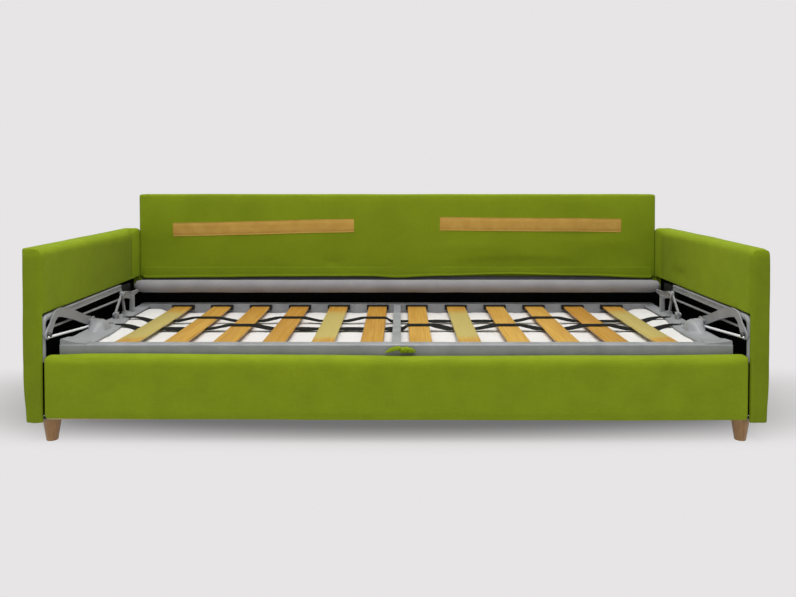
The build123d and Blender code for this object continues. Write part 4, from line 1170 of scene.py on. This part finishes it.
def build_side_leg(word):
    """Bent front leg of a side frame: a flat tube with a round corner and a boss for the pivot pin."""
    low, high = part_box("side_frame_leg_right")
    side = SIDES[word]
    middle_x = side * (low.x + high.x) / 2
    band = high.z - RAIL_LOW.z
    rings = []

    def ring(y, z, angle, width):
        normal = Vector((0, -math.cos(angle), math.sin(angle)))
        middle = Vector((middle_x, y, z)) - normal * (width / 2)
        rings.append(flat_ring(middle, (1, 0, 0), normal, high.x - low.x, width))

    for z in stops(low.z, high.z - LEG_CORNER, 0.03):
        ring(low.y, z, 0.0, LEG_WIDTH)
    for step in range(1, 9):
        angle = math.radians(90 * step / 8)
        y = low.y + LEG_CORNER * (1 - math.cos(angle))
        z = high.z - LEG_CORNER * (1 - math.sin(angle))
        ring(y, z, angle, LEG_WIDTH + (band - LEG_WIDTH) * step / 8)
    ring(high.y, high.z, math.radians(90), band)
    form = Form().loft(rings)
    form.turned(BOSS, (side * low.x, PIVOT.y, PIVOT.z), X, sides=30, facing=side)
    piece = form.build("side_leg_" + word, sharp=35)
    dress(piece, "base", "grey_steel", "side_frame_leg_" + word)


def build_side_rail(word):
    """Rolled rail with a groove along its web and a bead along its lower lip."""
    top, bottom = RAIL_HIGH.z, RAIL_LOW.z
    depth = RAIL_HIGH.x - RAIL_LOW.x
    profile = ((0.0012, top), (0.0, top - 0.0012), (0.0, top - 0.0068), (0.0018, top - 0.0076),
               (0.0018, top - 0.0088), (0.0, top - 0.0096), (0.0, bottom + 0.0046),
               (-0.0008, bottom + 0.0038), (-0.0012, bottom + 0.0022), (-0.0008, bottom + 0.0008),
               (0.0006, bottom), (depth, bottom), (depth, top))
    rings = [[(SIDES[word] * (RAIL_LOW.x + across), y, z) for across, z in profile]
             for y in stops(RAIL_LOW.y + 0.0002, RAIL_HIGH.y, 0.05)]
    piece = Form().loft(rings).build("side_rail_" + word, sharp=40)
    dress(piece, "base", "grey_steel", "side_frame_rail_" + word)


def build_side_strut(word):
    """Thin bar under the rail. It falls a little towards the rear and is pressed flat at both ends."""
    low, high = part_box("side_frame_struts")
    x = SIDES[word] * (high.x - STRUT_THICKNESS / 2)
    rings = []
    for y in stops(low.y, high.y, 0.02, (0.012,)):
        share = (y - low.y) / (high.y - low.y)
        to_end = min(y - low.y, high.y - y)
        width = STRUT_WIDTH + 0.003 * (1 - smooth_between(to_end, 0.006, 0.018))
        z = (low.z + high.z) / 2 - STRUT_FALL * share
        rings.append(flat_ring((x, y, z), (1, 0, 0), (0, 0, 1), STRUT_THICKNESS, width))
    piece = Form().loft(rings).build("side_strut_" + word, sharp=40)
    dress(piece, "base", "grey_steel", "side_frame_struts")


for end_word in SIDES:
    build_side_leg(end_word)
    build_side_rail(end_word)
    build_side_strut(end_word)


# Links and legs

ROD_RADIUS = 0.0041
ROD_FRONT = Vector((1.0288, -0.4290, 0.3130))
ROD_BACK = Vector((1.0207, -0.1520, 0.2890))
ROD_STEPS = 40
ROD_SIDES = 20
PIN_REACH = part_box("pivot_pins")[1].x - ROD_FRONT.x
PIN_PROFILE = ((-0.0052, 0.0040), (-0.0048, 0.0060), (-0.0030, 0.0070), (0.0010, 0.0074), (0.0014, 0.0078),
               (PIN_REACH - 0.001, 0.0078), (PIN_REACH, 0.0068))
BOLT = middle_of("leg_bolts")
BRACKET_TOP = ((0.090, 0.3655), (0.137, 0.3570), (0.189, 0.3490), (0.235, 0.3450), (0.264, 0.3440))
BRACKET_BOTTOM = ((0.264, 0.3350), (0.230, 0.3310), (0.190, 0.3275), (0.149, 0.3265), (0.095, 0.3390))
BRACKET_SET = 0.019
BRACKET_EDGE = 0.0010


def build_links(word):
    """Rod beside the swing arm with flattened ends, near white as a painted reflection, and the pin in front,
    nearly black as painted shade.
    """
    side = SIDES[word]
    start, end = (Vector((side * place.x, place.y, place.z)) for place in (ROD_FRONT, ROD_BACK))
    outward = Vector((side, 0, 0))
    across = (end - start).normalized().cross(outward).normalized()
    rings = []
    for step in range(ROD_STEPS + 1):
        place = start.lerp(end, step / ROD_STEPS)
        near_end = min(step, ROD_STEPS - step) / ROD_STEPS
        flat = 1 - 0.45 * (1 - smooth_between(near_end, 0.0, 0.06))
        tip = math.sqrt(max(0.12, 1 - (1 - min(1.0, near_end / 0.02)) ** 2))
        ring = []
        for turn in range(ROD_SIDES):
            angle = 2 * math.pi * turn / ROD_SIDES
            ring.append(place + outward * (ROD_RADIUS * flat * tip * math.cos(angle))
                        + across * (ROD_RADIUS * tip * math.sin(angle)))
        rings.append(ring)
    rod = Form().loft(rings).build("tie_rod_bar_" + word)
    dress(rod, "swing_arms", "chrome_rod", "tie_rod_" + word)
    pin_centre = (side * ROD_FRONT.x, PIVOT.y, PIVOT.z)
    pin = Form().turned(PIN_PROFILE, pin_centre, X, sides=28, facing=side)
    dress(pin.build("pivot_pin_" + word, sharp=38), "base", "zinc_steel", "pivot_pins", material=PIN_STEEL_SHADED)


def arc(y, z, radius, start, sweep):
    """Points of a round end seen from the side, from a start angle through a sweep in degrees."""
    angles = [math.radians(start + sweep * step / 12) for step in range(13)]
    return [(y + radius * math.cos(angle), z + radius * math.sin(angle)) for angle in angles]


def build_leg_bracket(word):
    """Flat bracket of the leg frame, from the bolt of its struts back into the foot roll."""
    low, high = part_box("leg_bracket_right")
    outline = [*arc(BOLT.y - 0.002, BOLT.z - 0.005, 0.0135, -60, -165), *BRACKET_TOP,
               *arc(ROLL_CENTRE.y, ROLL_CENTRE.z, 0.0195, 164, -328), *BRACKET_BOTTOM]
    middle_y = sum(y for y, z in outline) / len(outline)
    middle_z = sum(z for y, z in outline) / len(outline)
    rings = []
    for x, pull in ((low.x, BRACKET_EDGE), (low.x + BRACKET_EDGE, 0.0), (high.x - BRACKET_EDGE, 0.0),
                    (high.x, BRACKET_EDGE)):
        ring = []
        for y, z in outline:
            inward = Vector((0, middle_y - y, middle_z - z)).normalized() * pull
            outward = BRACKET_SET * smooth_between(y, 0.09, 0.25)
            ring.append(Vector((SIDES[word] * (x + outward), y, z)) + inward)
        rings.append(ring)
    piece = Form().loft(rings).build("leg_bracket_plate_" + word, sharp=38)
    dress(piece, "leg_frame", "grey_steel", "leg_bracket_" + word)


for end_word in SIDES:
    build_links(end_word)
    build_leg_bracket(end_word)


# Pull strap

STRAP_LEAN = Vector((-0.25, 0.35, 0.9)).normalized()
LOOP_STEPS = 18
LOOP_SIDES = 16
LOOP_TIP = 0.86
KNOT_ROWS = 8
KNOT_SIDES = 14
# Each lump of the knot has its place across, its height above the rail and its size
KNOT_LUMPS = ((0.018, 0.0080, 0.0095), (0.030, 0.0088, 0.0105), (0.042, 0.0070, 0.0090),
              (0.051, 0.0040, 0.0066))


def strap_loop(start, end):
    """Rings of the flattened loop of cloth."""
    rings = []
    for step in range(LOOP_STEPS + 1):
        share = step / LOOP_STEPS
        middle = start.lerp(end, share) + Vector((0, 0, 0.003 * math.sin(math.pi * share)))
        width = 0.0175 * math.sin(math.pi * (0.04 + 0.80 * share)) ** 0.8
        if share > LOOP_TIP:
            width *= math.sqrt(max(0.05, 1 - ((share - LOOP_TIP) / 0.14) ** 2))
        ring = []
        for turn in range(LOOP_SIDES):
            angle = 2 * math.pi * turn / LOOP_SIDES
            crease = 1 - 0.3 * abs(math.sin(angle)) ** 6
            edge = STRAP_LEAN * (width / 2 * math.sin(angle) * crease)
            ring.append(middle + edge + Vector((0, 0.0042, 0)) * math.cos(angle))
        rings.append(ring)
    return rings


def knot_lump(number, centre, reach, floor):
    """Rings of one crumpled lump, kept above the rail it lies on."""
    rings = []
    for row in range(KNOT_ROWS + 1):
        polar = math.pi * row / KNOT_ROWS
        ring = []
        for turn in range(KNOT_SIDES):
            angle = 2 * math.pi * turn / KNOT_SIDES
            out = math.sin(polar)
            way = Vector((math.cos(polar), out * math.cos(angle), out * math.sin(angle)))
            rough = 1 + 0.32 * noise.noise(way * 2.6 + Vector((number * 5, 1, 2)))
            fold = 1 + 0.16 * math.sin(angle * 4 + number + polar * 2)
            place = centre + Vector((way.x, way.y * 0.9, way.z)) * reach * rough * fold
            place.z = max(place.z, floor)
            ring.append(place)
        rings.append(ring)
    return rings


def build_pull_strap():
    """Folded loop of upholstery cloth and its crumpled knot, used to pull the deck up."""
    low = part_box("pull_strap")[0]
    y = low.y + 0.012
    form = Form()
    form.loft(strap_loop(Vector((low.x, y, low.z + 0.001)), Vector((0.016, y - 0.002, low.z + 0.0165))))
    for number, (x, z, reach) in enumerate(KNOT_LUMPS):
        form.loft(knot_lump(number, Vector((x, y + 0.001 * number, low.z + z)), reach, low.z + 0.0002))
    dress(form.build("pull_strap_loop"), "deck", "upholstery", "pull_strap", levels=1)


build_pull_strap()


# Small fasteners

HEAD_HEIGHT = 0.0020
RIVET_RADIUS = 0.0042
SCREW_RADIUS = 0.0046


def dome(radius):
    """Profile of a low domed head."""
    return [(0.0, radius), (HEAD_HEIGHT * 0.45, radius), (HEAD_HEIGHT * 0.8, radius * 0.8),
            (HEAD_HEIGHT, radius * 0.4)]


def build_rivets():
    """Rivet heads on the side frames and screws in the deck's end plates."""
    frame_heads = Form()
    deck_heads = Form()
    for side in SIDES.values():
        for share in (0.12, 0.42, 0.72, 0.94):
            y = RAIL_LOW.y + (RAIL_HIGH.y - RAIL_LOW.y) * share
            centre = (side * RAIL_LOW.x, y, (RAIL_LOW.z + RAIL_HIGH.z) / 2)
            frame_heads.turned(dome(RIVET_RADIUS), centre, X, sides=18, facing=-side)
        for y in (END_LOW.y + 0.120, END_HIGH.y - 0.14, END_HIGH.y - 0.045):
            centre = (side * (END_HIGH.x - 0.026), y, PLATE_TOP)
            deck_heads.turned(dome(SCREW_RADIUS), centre, Z, sides=18)
    dress(frame_heads.build("side_frame_rivets", sharp=40), "base", "grey_steel")
    dress(deck_heads.build("end_plate_rivets", sharp=40), "deck", "grey_steel")


build_rivets()


# Camera, light and floor

CAMERA_PLACE = (0.013, -2.547, 0.797)
CAMERA_TILT = 88.79
IMAGE_WIDTH = 796
IMAGE_HEIGHT = 597
FOCAL_PIXELS = 720.0
MIDDLE_X, MIDDLE_Y = 400.6, 188.8
SENSOR = 36.0
BACKGROUND = (0.799, 0.783, 0.790, 1.0)
ROOM_LIGHT = 0.33
FLOOR = (0.62, 0.61, 0.615, 1.0)
FLOOR_REACH = 40.0
# Share of the floor near the sofa that glows in the background colour: painted light that lightens the sofa's
# shadow.
FLOOR_FILL = 0.20
FADE_START = 0.27
FADE_END = 0.56
FADE_SQUEEZE = 0.22


def build_camera():
    """Camera at the photograph's angle, with its picture shifted so that upright lines stay upright."""
    data = bpy.data.cameras.new("camera")
    data.sensor_width = SENSOR
    data.lens = FOCAL_PIXELS * SENSOR / IMAGE_WIDTH
    data.shift_x = (IMAGE_WIDTH / 2 - MIDDLE_X) / IMAGE_WIDTH
    data.shift_y = (MIDDLE_Y - IMAGE_HEIGHT / 2) / IMAGE_WIDTH
    camera = bpy.data.objects.new("camera", data)
    camera.location = CAMERA_PLACE
    camera.rotation_euler = (math.radians(CAMERA_TILT), 0, 0)
    bpy.context.scene.collection.objects.link(camera)
    bpy.context.scene.camera = camera


def build_lamp(name, place, aim, size, energy):
    """Large soft lamp."""
    data = bpy.data.lights.new(name, "AREA")
    data.shape = "RECTANGLE"
    data.size, data.size_y = size
    data.energy = energy
    lamp = bpy.data.objects.new(name, data)
    lamp.location = place
    lamp.rotation_mode = "QUATERNION"
    lamp.rotation_quaternion = (Vector(aim) - Vector(place)).to_track_quat("-Z", "Y")
    bpy.context.scene.collection.objects.link(lamp)


def build_world():
    """Pale room: plain for the camera and in reflections, and a dim even light on the object."""
    world = bpy.data.worlds.new("room")
    world.use_nodes = True
    tree = world.node_tree
    shade = tree.nodes["Background"]
    shade.inputs["Color"].default_value = (1.0, 1.0, 1.0, 1.0)
    shade.inputs["Strength"].default_value = ROOM_LIGHT
    plain = tree.nodes.new("ShaderNodeBackground")
    plain.inputs["Color"].default_value = BACKGROUND
    path = tree.nodes.new("ShaderNodeLightPath")
    seen = path.outputs["Is Camera Ray"]
    for ray in ("Is Glossy Ray", "Is Transmission Ray"):
        either = tree.nodes.new("ShaderNodeMath")
        either.operation = "MAXIMUM"
        tree.links.new(seen, either.inputs[0])
        tree.links.new(path.outputs[ray], either.inputs[1])
        seen = either.outputs[0]
    mix = tree.nodes.new("ShaderNodeMixShader")
    for number, socket in enumerate((seen, shade.outputs[0], plain.outputs[0])):
        tree.links.new(socket, mix.inputs[number])
    tree.links.new(mix.outputs[0], tree.nodes["World Output"].inputs["Surface"])
    bpy.context.scene.world = world


def build_floor():
    """Pale floor that takes the shadow near the sofa and turns into the plain background further out."""
    form = Form()
    form.points = [Vector((x, y, 0)) * FLOOR_REACH for x, y in ((-1, -1), (1, -1), (1, 1), (-1, 1))]
    form.faces = [(0, 1, 2, 3)]
    floor = form.build("floor")
    paint = Paint("floor", roughness=1.0, specular_ior_level=0.0, base_color=FLOOR)
    squeezed = paint.node("Mapping", {"Vector": paint.place, "Scale": (FADE_SQUEEZE, 1.0, 1.0)}).outputs[0]
    distance = paint.node("VectorMath", {0: squeezed}, operation="LENGTH").outputs["Value"]
    fade = {0: distance, 1: FADE_START, 2: FADE_END, 3: FLOOR_FILL}
    share = paint.node("MapRange", fade, interpolation_type="SMOOTHSTEP").outputs[0]
    # Glow in the background colour: painted light, weak near the sofa and full further out.
    glow = paint.node("Emission", {"Color": BACKGROUND, "Strength": 1.0}).outputs[0]
    mix = paint.node("MixShader", {0: share, 1: paint.shader.outputs[0], 2: glow})
    paint.tree.links.new(mix.outputs[0], paint.tree.nodes["Material Output"].inputs["Surface"])
    floor.data.materials.append(paint.material)


build_camera()
build_lamp("key", (-0.5, -1.7, 3.4), (0, 0, 0.2), (3.6, 2.4), 58)
build_lamp("top", (0.3, -0.1, 3.6), (0, 0, 0), (3.4, 2.4), 90)
build_world()
build_floor()
bpy.context.scene.view_settings.view_transform = "Standard"
